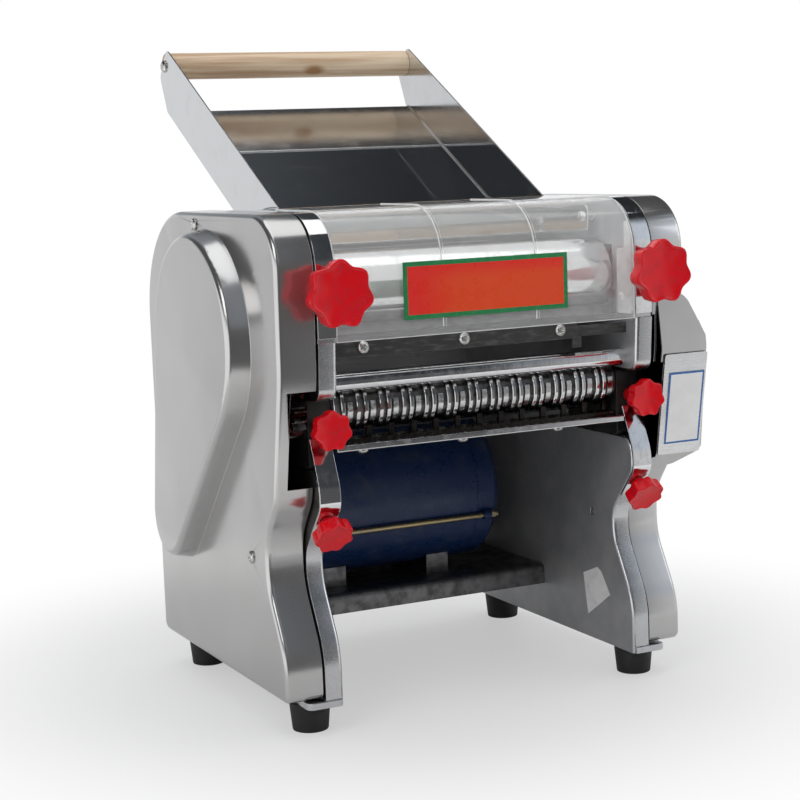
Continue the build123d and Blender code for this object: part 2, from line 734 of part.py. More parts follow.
def rear_roller():
    left_end = first_gear_x + drive_gear_width + gear_clearance + wheel_width
    return roller(-left_end, first_gear_x + roller_gear_width, rear_roller_y)


def front_bearings():
    """Sliding blocks that carry the front roller, one in each frame's window."""
    half, high = bearing_width / 2, bearing_height / 2
    body = block(frame_inner_x, frame_outer_x, front_roller_y - half, front_roller_y + half,
                 roller_height - high, roller_height + high)
    body = chamfer(body.edges().filter_by(Axis.X), 1.5)
    bore = journal_radius + running_clearance
    return both(body - rod_x(bore, frame_inner_x - 1, frame_outer_x + 1, front_roller_y, roller_height))


def rear_bearings():
    """Bushes of the rear roller."""
    bush = rod_x(bush_radius - 0.02, frame_inner_x, frame_outer_x, rear_roller_y, roller_height)
    bore = journal_radius + running_clearance
    return both(bush - rod_x(bore, frame_inner_x - 1, frame_outer_x + 1, rear_roller_y, roller_height))


def scraper(roller_y, outward, ear_reach):
    """Spring-steel blade under a roller, on a folded bar whose ears hang from the bearings."""
    edge = roller_y + outward * scraper_out
    edge_z = roller_height - math.sqrt((roller_radius + scraper_clearance) ** 2 - scraper_out ** 2)
    far = edge + outward * scraper_width
    blade = [(edge, edge_z), (far, edge_z - 7.0), (far + outward * 1.2, edge_z - 5.6),
             (edge + outward * 1.2, edge_z + 0.4)]
    section = make_face(Polyline(*blade, close=True))
    bar = across(section, -frame_inner_x + 0.2, frame_inner_x - 0.2)
    ear_low = (far - outward * 7.0, edge_z - 5.5)
    ear = block(frame_inner_x - 1.6, frame_inner_x - 0.2, ear_low[0], far + outward * 1.0,
                ear_low[1], ear_reach)
    return bar + ear + mirrored(ear)


def front_scraper():
    return scraper(front_roller_y, -1, roller_height - 12)


def rear_scraper():
    return scraper(rear_roller_y, 1, roller_height - 12)


# ---- Gears -------------------------------------------------------------------------------------------

def gear_face(teeth, module, phase):
    """Gear outline with straight-flanked teeth; one tooth points at the phase angle, from +Y towards +Z."""
    pitch_radius = module * teeth / 2
    half_pitch = math.pi * module / 4 - backlash / 2
    lean = math.tan(math.radians(pressure_angle))
    root, tip = pitch_radius - 1.25 * module, pitch_radius + 0.95 * module
    half_root = (half_pitch + 1.0 * module * lean) / root
    half_tip = (half_pitch - 1.15 * module * lean) / tip
    points = []
    for tooth in range(teeth):
        middle = math.radians(phase) + 2 * math.pi * tooth / teeth
        for radius, turn in ((root, -half_root), (tip, -half_tip), (tip, half_tip), (root, half_root)):
            points.append((radius * math.cos(middle + turn), radius * math.sin(middle + turn)))
    return make_face(Polyline(*points, close=True))


def gear(teeth, module, phase, x0, x1, y, z, bore):
    face = Pos(y, z) * (gear_face(teeth, module, phase) - Circle(bore))
    return across(face, x0, x1)


def matched_phase(direction, teeth, phase, other_teeth):
    """Phase of a second gear, seen in the given direction from the first, so that their teeth mesh."""
    passed = (direction - phase) * teeth / 360
    return direction + 180 - (0.5 - passed) * 360 / other_teeth


def direction_to(y0, z0, y1, z1):
    return math.degrees(math.atan2(z1 - z0, y1 - y0))


def roller_gear(y, phase):
    return gear(roller_teeth, roller_module, phase, first_gear_x, first_gear_x + roller_gear_width,
                y, roller_height, journal_radius)


def front_roller_gear():
    return roller_gear(front_roller_y, 0)


def rear_roller_gear():
    return roller_gear(rear_roller_y, matched_phase(0, roller_teeth, 0, roller_teeth))


def gear_cluster():
    """Double gear on the rear roller: the wide wheel is driven, the narrow one drives the cutters."""
    drive = gear(drive_teeth, drive_module, 0, -first_gear_x, -first_gear_x - drive_gear_width,
                 rear_roller_y, roller_height, journal_radius)
    inner = first_gear_x + drive_gear_width + gear_clearance
    wheel = gear(wheel_teeth, wheel_module, 0, -inner, -inner - wheel_width,
                 rear_roller_y, roller_height, journal_radius)
    hub = Pos(rear_roller_y, roller_height) * (Circle(journal_radius + 7) - Circle(journal_radius))
    return drive + wheel + across(hub, -inner + gear_clearance + 0.5, -inner - 0.5)


def idler_gear():
    y, z = idler_place()
    phase = matched_phase(direction_to(rear_roller_y, roller_height, y, z), drive_teeth, 0, idler_teeth)
    return gear(idler_teeth, drive_module, phase, -first_gear_x, -first_gear_x - drive_gear_width, y, z,
                idler_stud_radius + running_clearance)


def idler_stud():
    """Shouldered stud in the left frame, with a retaining washer."""
    y, z = idler_place()
    gear_end = first_gear_x + drive_gear_width
    stud = rod_x(idler_stud_radius, -gear_end - 2, -frame_outer_x, y, z)
    stud += rod_x(idler_spigot_radius - 0.05, -frame_outer_x, -frame_inner_x - 5, y, z)
    stud += rod_x(idler_stud_radius + 3, -frame_outer_x - gear_clearance + 0.3, -frame_outer_x, y, z)
    return stud + rod_x(idler_stud_radius + 3, -gear_end - 2, -gear_end - 0.3, y, z)


def rear_cutter_phase():
    y, z = idler_place()
    idler_phase = matched_phase(direction_to(rear_roller_y, roller_height, y, z), drive_teeth, 0, idler_teeth)
    direction = direction_to(y, z, rear_cutter_y, cutter_height)
    return matched_phase(direction, idler_teeth, idler_phase, cutter_teeth)


def cutter_gear(y, phase):
    return gear(cutter_teeth, drive_module, phase, -first_gear_x, -first_gear_x - drive_gear_width,
                y, cutter_height, cutter_journal_radius)


def rear_cutter_gear():
    return cutter_gear(rear_cutter_y, rear_cutter_phase())


def front_cutter_gear():
    return cutter_gear(front_cutter_y, matched_phase(180, cutter_teeth, rear_cutter_phase(), cutter_teeth))


# ---- Belt drive and motor ----------------------------------------------------------------------------

def layshaft():
    """Shaft from the big pulley to the rear roller's wheel, with its pinion cut on it."""
    inner = first_gear_x + drive_gear_width + gear_clearance
    y, z = layshaft_y, layshaft_z
    body = rod_x(layshaft_radius, -pulley_outer_x, -frame_inner_x - 0.5, y, z)
    body += rod_x(layshaft_radius + 3.0, -first_gear_x - 2.0, -frame_outer_x - 0.3, y, z)
    phase = matched_phase(-layshaft_angle, wheel_teeth, 0, pinion_teeth)
    return body + gear(pinion_teeth, wheel_module, phase, -inner + 0.5, -inner - wheel_width,
                       y, z, layshaft_radius - 0.5)


def pulley(pitch_radius, bore, y, z):
    """Grooved pulley: a revolved rim and hub joined by a web."""
    rim = pitch_radius + belt_thickness / 2 - 1.0
    groove = pitch_radius - belt_thickness / 2 - belt_clearance
    half, half_groove = pulley_width / 2, belt_width / 2 + belt_clearance
    outline = [(bore, -half), (rim, -half), (rim, -half_groove), (groove, -half_groove),
               (groove, half_groove), (rim, half_groove), (rim, half), (bore, half)]
    wheel = revolve(Plane.XZ * make_face(Polyline(*outline, close=True)), axis=Axis.Z)
    if pitch_radius > 3 * bore:
        dish = Circle(groove - 5) - Circle(bore + 9)
        wheel -= extrude(Plane.XY.offset(half) * dish, amount=-pulley_dish)
        wheel -= extrude(Plane.XY.offset(-half) * dish, amount=pulley_dish)
    return Pos(-pulley_outer_x + half, y, z) * Rot(0, 90, 0) * wheel


def drive_pulley():
    return pulley(big_pulley_radius, layshaft_radius, layshaft_y, layshaft_z)


def motor_pulley():
    """Motor pulley with the shaft that it is keyed to."""
    shaft = rod_x(motor_shaft_radius, -pulley_outer_x, motor_left + 8, motor_y, motor_z)
    return shaft + pulley(small_pulley_radius, motor_shaft_radius, motor_y, motor_z)


def belt():
    """Closed belt round both pulleys."""
    middle, half = pulley_outer_x - pulley_width / 2, belt_thickness / 2
    run = round_run(big_pulley_radius + half, small_pulley_radius + half)
    run -= round_run(big_pulley_radius - half, small_pulley_radius - half)
    return across(run, -middle - belt_width / 2, -middle + belt_width / 2)


def motor_bolt_places():
    """Four places round the motor's shell, the first low at its front."""
    turns = [math.radians(motor_bolt_turn + 90.0 * quarter) for quarter in range(4)]
    return [(motor_y + motor_bolt_circle * math.cos(t), motor_z + motor_bolt_circle * math.sin(t))
            for t in turns]


def motor_body():
    """Rolled steel shell of the motor."""
    left, right = motor_left + motor_bell_length, motor_right - motor_bell_length
    shell = rod_x(motor_radius, left, right, motor_y, motor_z)
    return chamfer(shell.edges(), 1.0)


def motor_bells():
    """Cast end bells, eared for the through bolts; the left one carries the shaft."""
    bell = rod_x(motor_radius - 1.0, motor_left, motor_left + motor_bell_length, motor_y, motor_z)
    bell = chamfer(bell.edges().sort_by(Axis.X)[0], 7.0)
    ear_start, ear_end = motor_left + motor_ear_start, motor_left + motor_bell_length - motor_ear_end
    for y, z in motor_bolt_places():
        bell += rod_x(motor_ear_radius, ear_start, ear_end, y, z)
        bell -= rod_x(motor_bolt_radius + 0.05, motor_left, motor_left + motor_bell_length, y, z)
    right = Pos(motor_left + motor_right, 0, 0) * mirrored(bell)
    bore = rod_x(motor_shaft_radius + running_clearance, motor_left - 1, motor_left + 9, motor_y, motor_z)
    return group([bell - bore, right])


def motor_bolts():
    """Plated through bolts along the motor, with nuts outside the ears."""
    bolts = []
    for y, z in motor_bolt_places():
        bolt = rod_x(motor_bolt_radius, motor_left + 6, motor_right - 6, y, z)
        for x, out in ((motor_left + motor_ear_start, -3.0), (motor_right - motor_ear_start, 3.0)):
            nut = Pos(x + out / 2, y, z) * Rot(0, 90, 0)
            bolt += nut * extrude(RegularPolygon(motor_ear_radius - 0.2, 6), amount=1.5, both=True)
        bolts.append(bolt)
    return group(bolts)


def motor_plate():
    """Shelf across the frames under the motor, its front edge folded down, with two saddles."""
    top, under = motor_plate_top, motor_plate_top - motor_plate_thickness
    path = [(motor_y + motor_radius - 2, top), (motor_plate_front, top),
            (motor_plate_front, top - motor_plate_fold)]
    section = bent_face(path, [motor_plate_thickness + 1.0], motor_plate_thickness)
    shelf = across(section, -frame_inner_x + 0.1, frame_inner_x - 0.1)
    half = saddle_half_width
    saddle = block(-half, half, motor_y - saddle_half_length, motor_y + saddle_half_length,
                   under + 1, motor_z - motor_radius + 12)
    saddle -= rod_x(motor_radius + 0.1, -2 * half, 2 * half, motor_y, motor_z)
    for y, z in motor_bolt_places():
        saddle -= rod_x(motor_bolt_radius + 1.0, -2 * half, 2 * half, y, z)
    return shelf + [Pos(x, 0, 0) * saddle for x in (motor_left + saddle_inset, motor_right - saddle_inset)]


def back_panel():
    """Sheet that closes the back between the frames and follows their round top edge."""
    rear, top = body_rear, body_top - back_panel_drop
    path = [(rear, motor_plate_top - 1), (rear, top), (back_panel_front, top)]
    sheet = bent_face(path, [rear - back_panel_front - 1.0], cover_wall)
    return across(sheet, -frame_inner_x + 0.1, frame_inner_x - 0.1)


# ---- Cutter cassette ---------------------------------------------------------------------------------

def cutter(y, first_x):
    """Ring cutter: discs with grooved rims along a shaft, running in the other cutter's gaps."""
    half, half_groove = disc_width / 2 - disc_side_clearance, disc_groove_width / 2
    core, rim, floor = cutter_core_radius, cutter_radius, cutter_radius - disc_groove_depth
    right_end, left_end = frame_outer_x - 5.5, -first_gear_x - drive_gear_width
    barrel_end = cutter_half_length + 0.6
    points = [(left_end, 0), (left_end, cutter_journal_radius), (-barrel_end, cutter_journal_radius),
              (-barrel_end, core)]
    for disc in range(disc_count):
        middle = first_x + disc_width * (2 * disc + 0.5)
        points += [(middle - half, core), (middle - half, rim), (middle - half_groove, rim),
                   (middle - half_groove, floor), (middle + half_groove, floor),
                   (middle + half_groove, rim), (middle + half, rim), (middle + half, core)]
    points += [(barrel_end, core), (barrel_end, cutter_journal_radius),
               (right_end, cutter_journal_radius), (right_end, 0)]
    section = make_face(Polyline(*points, close=True))
    return Pos(0, y, cutter_height) * revolve(Plane.XY * section, axis=Axis.X)


def front_cutter():
    return cutter(front_cutter_y, -cutter_half_length)


def rear_cutter():
    return cutter(rear_cutter_y, -cutter_half_length + disc_width)


def cutter_plate():
    """Right end block of the cassette: it slides into the frame's slot and carries both shafts."""
    low, high, rear = slot_bottom + block_clearance, slot_top - block_clearance, slot_rear - 1.5
    outline = face_of([(block_front, low), (rear, low), (rear, high), (block_front, high)], [4, 3, 3, 4])
    plate = across(outline, block_inner_x, frame_outer_x + 0.5)
    bore = cutter_journal_radius + running_clearance
    for y in (front_cutter_y, rear_cutter_y):
        plate -= rod_x(bore, block_inner_x - 1, frame_outer_x + 1, y, cutter_height)
    stud_hole = cutter_stud_radius + 0.05
    return plate - rod_y(stud_hole, block_front - 1, block_front + 8, knob_x, cutter_knob_z)


def cutter_bar():
    """Bright flat bar across the front of the cassette, just under the cutters."""
    bar = block(-block_inner_x, block_inner_x, bar_front, bar_front + bar_depth,
                bar_top - bar_thickness, bar_top)
    return fillet(bar.edges().filter_by(Axis.X).group_by(Axis.Y)[0], 1.0)


def front_screw_places():
    """Three even places along the front, used by the bar's screws and by the rail's."""
    return [screw_first_x, (screw_first_x + screw_last_x) / 2, screw_last_x]


def bar_screws():
    """Pan-head screws under the bar."""
    screw = Rot(180, 0, 0) * dome_screw(4.4, 3.4)
    y, z = bar_front + bar_screw_in, bar_top - bar_thickness
    return group(Pos(x, y, z) * screw for x in front_screw_places())


def comb(axis_y, first_x, toward_nip):
    """Stripper comb: a bar with a curved finger in every gap of one cutter, ending just under the nip."""
    inner = cutter_core_radius + finger_clearance
    outer = inner + finger_thickness
    spine_y = axis_y - toward_nip * comb_spine_out

    def on_arc(radius, degrees):
        turn = math.radians(degrees)
        return axis_y + toward_nip * radius * math.cos(turn), cutter_height + radius * math.sin(turn)

    turns = (finger_start, finger_middle, finger_end)
    outside, inside = [on_arc(outer, turn) for turn in turns], [on_arc(inner, turn) for turn in turns]
    hook = make_face([ThreePointArc(*outside), Line(outside[2], inside[2]),
                      ThreePointArc(*inside[::-1]), Line(inside[0], outside[0])])
    left, right, under = spine_y - finger_thickness, spine_y + finger_thickness, cutter_height - outer + 2.0
    leg = make_face(Polyline((left, bar_top + 1.0), (right, bar_top + 1.0), (right, under), (left, under),
                             close=True))
    finger = across(hook + leg, -finger_width / 2, finger_width / 2)
    fingers = [Pos(first_x + disc_width * (2 * gap + 0.5), 0, 0) * finger for gap in range(disc_count)]
    spine = block(-block_inner_x + 0.1, block_inner_x - 0.1, spine_y - comb_depth / 2,
                  spine_y + comb_depth / 2, bar_top, bar_top + comb_thickness)
    return spine + fingers


def front_comb():
    return comb(front_cutter_y, -cutter_half_length + disc_width, 1)


def rear_comb():
    return comb(rear_cutter_y, -cutter_half_length, -1)


# ---- Guard and its rail ------------------------------------------------------------------------------

def guard():
    """Clear moulded guard over the rollers, with two thin ribs."""
    outer = [(guard_front, guard_bottom), (guard_front, guard_top), (guard_rear, guard_top)]
    section = bent_face(outer[::-1], [front_top_radius + 1], guard_thickness)
    shell = across(section, -frame_inner_x + 0.3, frame_inner_x - 0.3)
    front, top = guard_front - rib_rise, guard_top + rib_rise
    rib_path = [(guard_rear - 6, top), (front, top), (front, guard_bottom + 6)]
    rib_section = bent_face(rib_path, [front_top_radius + 1 + rib_rise], rib_rise + 1)
    rib = across(rib_section, -rib_half_width, rib_half_width)
    return shell + [Pos(x, 0, 0) * rib for x in (-guard_rib_x, guard_rib_x)]


def guard_brackets():
    """Stepped plates inside the guard's ends, screwed to the frames."""
    front, back, low = guard_front + guard_thickness + 0.3, guard_bracket_rear, guard_bottom + 3
    step_y, step_z = front + 9, roller_height + guard_step_rise
    outline = face_of([(front, low), (back, low), (back, step_z), (step_y, step_z),
                       (step_y, step_z + 20), (front, step_z + 20)], [3, 2, 2, 3, 2, 3])
    inside, radius = guard_top - guard_thickness - 0.3, front_top_radius + 0.7 - guard_thickness
    outline &= face_of([(front, guard_bottom), (guard_rear, guard_bottom), (guard_rear, inside),
                        (front, inside)], [0, 0, 0, radius])
    plate = across(outline, frame_inner_x - bracket_thickness, frame_inner_x - 0.2)
    head = dome_screw(3.6, 1.8)
    head = Pos(frame_inner_x - bracket_thickness, front + 14, low + 12) * Rot(0, -90, 0) * head
    return both(plate + head)


def guard_rail():
    """Dark rail under the guard, carried at the right by a thin bracket beside the guard's switch."""
    back = rail_front + rail_depth
    bar = block(-frame_inner_x + 0.2, rail_end, rail_front, back, rail_bottom, rail_top)
    bar = fillet(bar.edges().filter_by(Axis.X), 1.0)
    switch = block(rail_end - 4, rail_end + 4, rail_front + 1, back + 8, rail_bottom - 7, rail_bottom + 2)
    bracket = block(rail_end - 2, frame_inner_x - 0.2, rail_front + 2, rail_front + 4,
                    rail_bottom + 1, rail_top - 3)
    return bar + switch + bracket


def guard_screws():
    screw = Rot(90, 0, 0) * dome_screw(4.4, 2.5)
    middle = (rail_bottom + rail_top) / 2 + 1
    return group(Pos(x, rail_front, middle) * screw for x in front_screw_places())


# ---- Hopper ------------------------------------------------------------------------------------------

def hopper_plate():
    """Right side plate of the hopper, running down past the tray to stand over the rollers."""
    high = guard_top - guard_thickness - 2.0
    rise = (high - slope_point(0, hopper_plate_height)[1]) / math.sin(tray_angle)
    points = [slope_point(hopper_length + 21.5, hopper_plate_height), slope_point(hopper_length + 27.0, 18.0),
              slope_point(hopper_length, -hopper_sheet), (tray_fold_y, tray_fold_z - hopper_sheet),
              (tray_end_y, lip_height), (hopper_front, lip_height + 2.0), (hopper_front, high),
              slope_point(rise, hopper_plate_height)]
    outline = face_of(points, [7, 7, 7, 25, 12, 4, 6, 20])
    return across(outline, hopper_plate_x, hopper_plate_x + hopper_sheet)


def hopper_tray():
    """Folded tray: steep down from the rod, then flatter to its lip over the rear roller."""
    path = [(tray_end_y, tray_end_z), (tray_fold_y, tray_fold_z), slope_point(hopper_length - 4, 0)]
    return across(bent_face(path, [20.0], hopper_sheet), -hopper_plate_x, hopper_plate_x)


def wood_place():
    return slope_point(hopper_length + wood_along, wood_above)


def hopper_rod():
    """Turned wooden grip between the side plates."""
    y, z = wood_place()
    return rod_x(wood_radius, -hopper_plate_x, hopper_plate_x, y, z)


def hopper_bolt_places():
    return [(hopper_front + front_bolt_in, lip_height + front_bolt_rise),
            (tray_end_y + rear_bolt_in, tray_end_z + rear_bolt_rise)]


def hopper_spacers():
    """Turned spacers between the hopper's plates and the frames."""
    near = hopper_plate_x + hopper_sheet
    return group([both(rod_x(5.0, near, frame_inner_x, y, z)) for y, z in hopper_bolt_places()])


def hopper_screws():
    """Dome screws through the plates: two into the spacers and one into the rod's end on each side."""
    inner = dome_screw(4.4, 2.2)
    screws = [Pos(hopper_plate_x, y, z) * Rot(0, -90, 0) * inner for y, z in hopper_bolt_places()]
    y, z = wood_place()
    screws.append(Pos(hopper_plate_x + hopper_sheet, y, z) * Rot(0, 90, 0) * dome_screw(5.0, 2.6))
    return group([both(s) for s in screws])


# ---- Knobs and clips ---------------------------------------------------------------------------------

def knob_head(radius, thickness):
    """Lobed grip standing on the XY plane, with a shallow dish in its face."""
    lobe, ring = radius * 0.31, radius * 0.69
    outline = Circle(radius * 0.80)
    outline += [Pos(ring * math.cos(a), ring * math.sin(a)) * Circle(lobe) for a in lobe_angles()]
    grip = extrude(outline, amount=thickness)
    grip = chamfer(grip.faces().sort_by(Axis.Z)[-1].edges(), thickness * 0.13)
    grip = chamfer(grip.faces().sort_by(Axis.Z)[0].edges(), thickness * 0.08)
    return grip - Pos(0, 0, thickness - 0.6) * Cone(radius * 0.30, radius * 0.42, 1.3)


def lobe_angles():
    return [math.radians(90 + 360 * lobe / knob_lobes) for lobe in range(knob_lobes)]


def thumb_knob(radius, thickness, hub, reach, stud):
    """Grip with its hub and stud behind it, along -Z."""
    knob = knob_head(radius, thickness)
    knob += Pos(0, 0, -hub / 2) * Cylinder(radius * 0.38, hub)
    return knob + Pos(0, 0, -reach / 2) * Cylinder(stud, reach)


def facing_front(x, y, z):
    return Plane(origin=(x, y, z), x_dir=(1, 0, 0), z_dir=(0, -1, 0))


def setting_knob():
    """Right big knob: its screw runs through the arm to the sliding bearing."""
    back = big_knob_front + big_knob_thickness
    reach = front_roller_y - bearing_width / 2 - 0.1 - back
    hub = body_front - back - 3.0
    knob = thumb_knob(big_knob_radius, big_knob_thickness, hub, reach, stud_radius)
    return facing_front(knob_x, back, big_knob_z) * knob


def cutter_knob():
    back = cutter_knob_front + small_knob_thickness
    hub = block_front - back - 1.5
    reach = block_front + 7 - back
    knob = thumb_knob(small_knob_radius, small_knob_thickness, hub, reach, cutter_stud_radius)
    return facing_front(knob_x, back, cutter_knob_z) * knob


def stud_plane(distance):
    """Square to the lower slope of the nose, the given distance out along the clip's stud."""
    start = Vector(knob_x, clip_stud_y, clip_stud_z)
    return Plane(origin=start + stud_direction * distance, x_dir=(1, 0, 0), z_dir=stud_direction)


def clip():
    """Bent clip that hugs the jaw's nose and stands in front of the cassette's end block."""
    gap = clip_clearance
    tail = Vector(0, clip_stud_y, clip_stud_z) - slope_direction * clip_tail + stud_direction * gap
    bend = Vector(0, nose_front, nose_slope_top) + stud_direction * gap
    bend_y = nose_front - gap - 1.2
    bend_z = bend.Z + (bend_y - bend.Y) * slope_direction.Z / slope_direction.Y
    path = [(tail.Y, tail.Z), (bend_y, bend_z), (bend_y, slot_bottom - 12),
            (block_front - clip_gap - 1, slot_bottom + clip_top_rise)]
    section = bent_face(path, [12.0, 30.0], clip_thickness)
    strip = across(section, knob_x - clip_width / 2, knob_x + clip_width / 2)
    return strip - stud_plane(0) * Cylinder(clip_stud_radius + 0.3, 30)


def clip_knob():
    """Small knob on the clip's stud."""
    back = knob_reach
    hub = knob_stand - 0.6
    knob = thumb_knob(small_knob_radius, small_knob_thickness, hub, back + 8.0, clip_stud_radius)
    return stud_plane(back) * knob


# ---- Switch and cable gland --------------------------------------------------------------------------

def switch_bezel():
    """Frame of the rocker switch, open towards the rocker, with a shallow flange on the housing."""
    inner_y, inner_z, face = rocker_width / 2 + 0.2, rocker_radius, housing_face_x

    def shell(x0, x1, margin):
        return block(x0, x1, switch_y - inner_y - margin, switch_y + inner_y + margin,
                     switch_z - inner_z - margin, switch_z + inner_z + margin)

    body = shell(face - bezel_depth, face + 0.1, bezel_wall) + shell(face + 0.1, face + 1.1, bezel_margin)
    body -= shell(face - bezel_depth + 2, face + 2, 0)
    reach = inner_y + rocker_pin_reach + 0.1
    return body - rod_y(rocker_pin_radius + 0.04, switch_y - reach, switch_y + reach, pivot_x, switch_z)


def switch_rocker():
    """Rocker with a shallow V face on a cross pin, resting with its lower half pressed in."""
    reach = rocker_radius - 0.5
    rise = reach * math.tan(math.radians(rocker_tilt))
    points = [(rise, -reach), (0, 0), (rise, reach), (-3, reach),
              (-9, reach * 0.55), (-9, -reach * 0.55), (-3, -reach)]
    rocker = along_y(make_face(Polyline(*points, close=True)), -rocker_width / 2, rocker_width / 2)
    pin_end = rocker_width / 2 + rocker_pin_reach
    rocker += rod_y(rocker_pin_radius, -pin_end, pin_end, 0, 0)
    return Pos(pivot_x, switch_y, switch_z) * Rot(0, rocker_tilt, 0) * rocker


def cable_gland():
    """Screwed gland in the rear wall of the right cover, its nut inside and its cap outside."""
    inner, wall = body_rear, body_rear + cover_wall
    body = rod_y(gland_thread_radius - 0.05, inner - 6, wall + 3, 0, 0)
    cap, nut = RegularPolygon(gland_hex_radius, 6), RegularPolygon(gland_hex_radius - 0.5, 6)
    body += Pos(0, wall + 2.0, 0) * Rot(90, 0, 0) * extrude(cap, amount=2.0, both=True)
    collar = Cone(gland_hex_radius - 1.6, gland_thread_radius - 0.5, 9)
    body += Pos(0, wall + 8.5, 0) * Rot(-90, 0, 0) * collar
    body += Pos(0, inner - 3.1, 0) * Rot(90, 0, 0) * extrude(nut, amount=2.0, both=True)
    body -= rod_y(gland_bore_radius, wall - 20, wall + 20, 0, 0)
    return Pos(gland_x, 0, gland_z) * body


# ---- All pieces --------------------------------------------------------------------------------------

pieces = {
    "left_frame": left_frame(), "right_frame": frame(),
    "left_cover": left_cover(), "right_cover": right_cover(),
    "left_trim_strip": mirrored(trim_strip()), "right_trim_strip": trim_strip(),
    "cover_standoffs": cover_standoffs(), "cover_screws": cover_screws(),
    "switch_panel": switch_panel(), "feet": feet(), "tie_rods": tie_rods(),
    "front_roller": front_roller(), "rear_roller": rear_roller(),
    "front_bearings": front_bearings(), "rear_bearings": rear_bearings(),
    "front_scraper": front_scraper(), "rear_scraper": rear_scraper(),
    "front_roller_gear": front_roller_gear(), "rear_roller_gear": rear_roller_gear(),
    "gear_cluster": gear_cluster(), "idler_gear": idler_gear(), "idler_stud": idler_stud(),
    "front_cutter_gear": front_cutter_gear(), "rear_cutter_gear": rear_cutter_gear(),
    "layshaft": layshaft(), "drive_pulley": drive_pulley(), "motor_pulley": motor_pulley(), "belt": belt(),
    "motor_body": motor_body(), "motor_bells": motor_bells(), "motor_bolts": motor_bolts(),
    "motor_plate": motor_plate(), "back_panel": back_panel(),
    "front_cutter": front_cutter(), "rear_cutter": rear_cutter(),
    "left_cutter_plate": mirrored(cutter_plate()), "right_cutter_plate": cutter_plate(),
    "cutter_bar": cutter_bar(), "front_comb": front_comb(), "rear_comb": rear_comb(),
    "guard": guard(), "guard_brackets": guard_brackets(), "guard_rail": guard_rail(),
    "front_screws": group([bar_screws(), guard_screws()]),
    "left_hopper_plate": mirrored(hopper_plate()), "right_hopper_plate": hopper_plate(),
    "hopper_tray": hopper_tray(), "hopper_rod": hopper_rod(),
    "hopper_bolts": group([hopper_spacers(), hopper_screws()]),
    "left_setting_knob": mirrored(setting_knob()), "right_setting_knob": setting_knob(),
    "left_cutter_knob": mirrored(cutter_knob()), "right_cutter_knob": cutter_knob(),
    "left_clip": mirrored(clip()), "right_clip": clip(),
    "left_clip_knob": mirrored(clip_knob()), "right_clip_knob": clip_knob(),
    "switch_bezel": switch_bezel(), "switch_rocker": switch_rocker(), "cable_gland": cable_gland(),
}

os.makedirs("parts", exist_ok=True)
for name, piece in pieces.items():
    export_step(Pos(0, -origin_y, 0) * piece, f"parts/{name}.step")
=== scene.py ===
import json
import math

import bmesh
import bpy
from mathutils import Matrix, Vector
from mathutils.bvhtree import BVHTree

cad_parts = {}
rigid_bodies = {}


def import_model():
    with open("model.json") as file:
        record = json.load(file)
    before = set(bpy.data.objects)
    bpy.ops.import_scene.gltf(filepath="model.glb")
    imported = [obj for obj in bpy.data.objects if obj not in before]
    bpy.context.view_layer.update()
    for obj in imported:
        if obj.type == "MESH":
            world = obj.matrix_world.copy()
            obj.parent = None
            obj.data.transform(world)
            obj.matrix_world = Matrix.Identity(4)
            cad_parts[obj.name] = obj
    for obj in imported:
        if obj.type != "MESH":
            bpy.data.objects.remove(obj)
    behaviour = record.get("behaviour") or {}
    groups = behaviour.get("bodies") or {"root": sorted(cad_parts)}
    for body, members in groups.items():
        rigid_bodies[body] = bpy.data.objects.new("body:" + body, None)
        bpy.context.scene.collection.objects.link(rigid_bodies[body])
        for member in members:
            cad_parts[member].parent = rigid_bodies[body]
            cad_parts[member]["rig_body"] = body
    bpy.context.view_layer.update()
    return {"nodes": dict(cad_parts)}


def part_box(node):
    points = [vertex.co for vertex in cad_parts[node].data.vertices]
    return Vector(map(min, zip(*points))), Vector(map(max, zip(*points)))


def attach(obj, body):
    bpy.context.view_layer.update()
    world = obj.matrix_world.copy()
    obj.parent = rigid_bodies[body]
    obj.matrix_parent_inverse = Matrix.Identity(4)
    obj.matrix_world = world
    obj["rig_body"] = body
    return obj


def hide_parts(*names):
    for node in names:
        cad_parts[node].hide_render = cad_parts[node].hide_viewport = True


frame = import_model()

# Metres throughout: X runs along the rollers to the switch side, -Y is the front, Z is up.


# ---- Table and studio ----
# The machine stands on a white table in an all-white corner, under one wide soft lamp, with a
# smaller one at each front corner.  The room behind the camera is darker, and polished steel
# shows that.

def placed(name, data):
    """A new object with this data, put in the scene."""
    piece = bpy.data.objects.new(name, data)
    bpy.context.scene.collection.objects.link(piece)
    return piece


def made_mesh(name, work, finishes=(), sharp=None):
    """A mesh of the faces at work; where sharp is given, only edges beyond that angle stay hard."""
    for face in work.faces:
        face.smooth = sharp is not None
    mesh = bpy.data.meshes.new(name)
    work.to_mesh(mesh)
    work.free()
    for finish in finishes:
        mesh.materials.append(finish)
    if sharp is not None:
        mesh.set_sharp_from_angle(angle=math.radians(sharp))
    return mesh


def new_finish(name, colour, metallic, roughness):
    """A material and its main shader."""
    finish = bpy.data.materials.new(name)
    finish.use_nodes = True
    shader = finish.node_tree.nodes["Principled BSDF"]
    shader.inputs["Base Color"].default_value = (*colour, 1)
    shader.inputs["Metallic"].default_value = metallic
    shader.inputs["Roughness"].default_value = roughness
    return finish, shader


def axes_of(tree, space="Object"):
    """X, Y and Z of the point shaded, from the frame's origin; of a world, its direction."""
    place = tree.nodes.new("ShaderNodeTexCoord")
    parts = tree.nodes.new("ShaderNodeSeparateXYZ")
    tree.links.new(place.outputs[space], parts.inputs[0])
    return parts.outputs


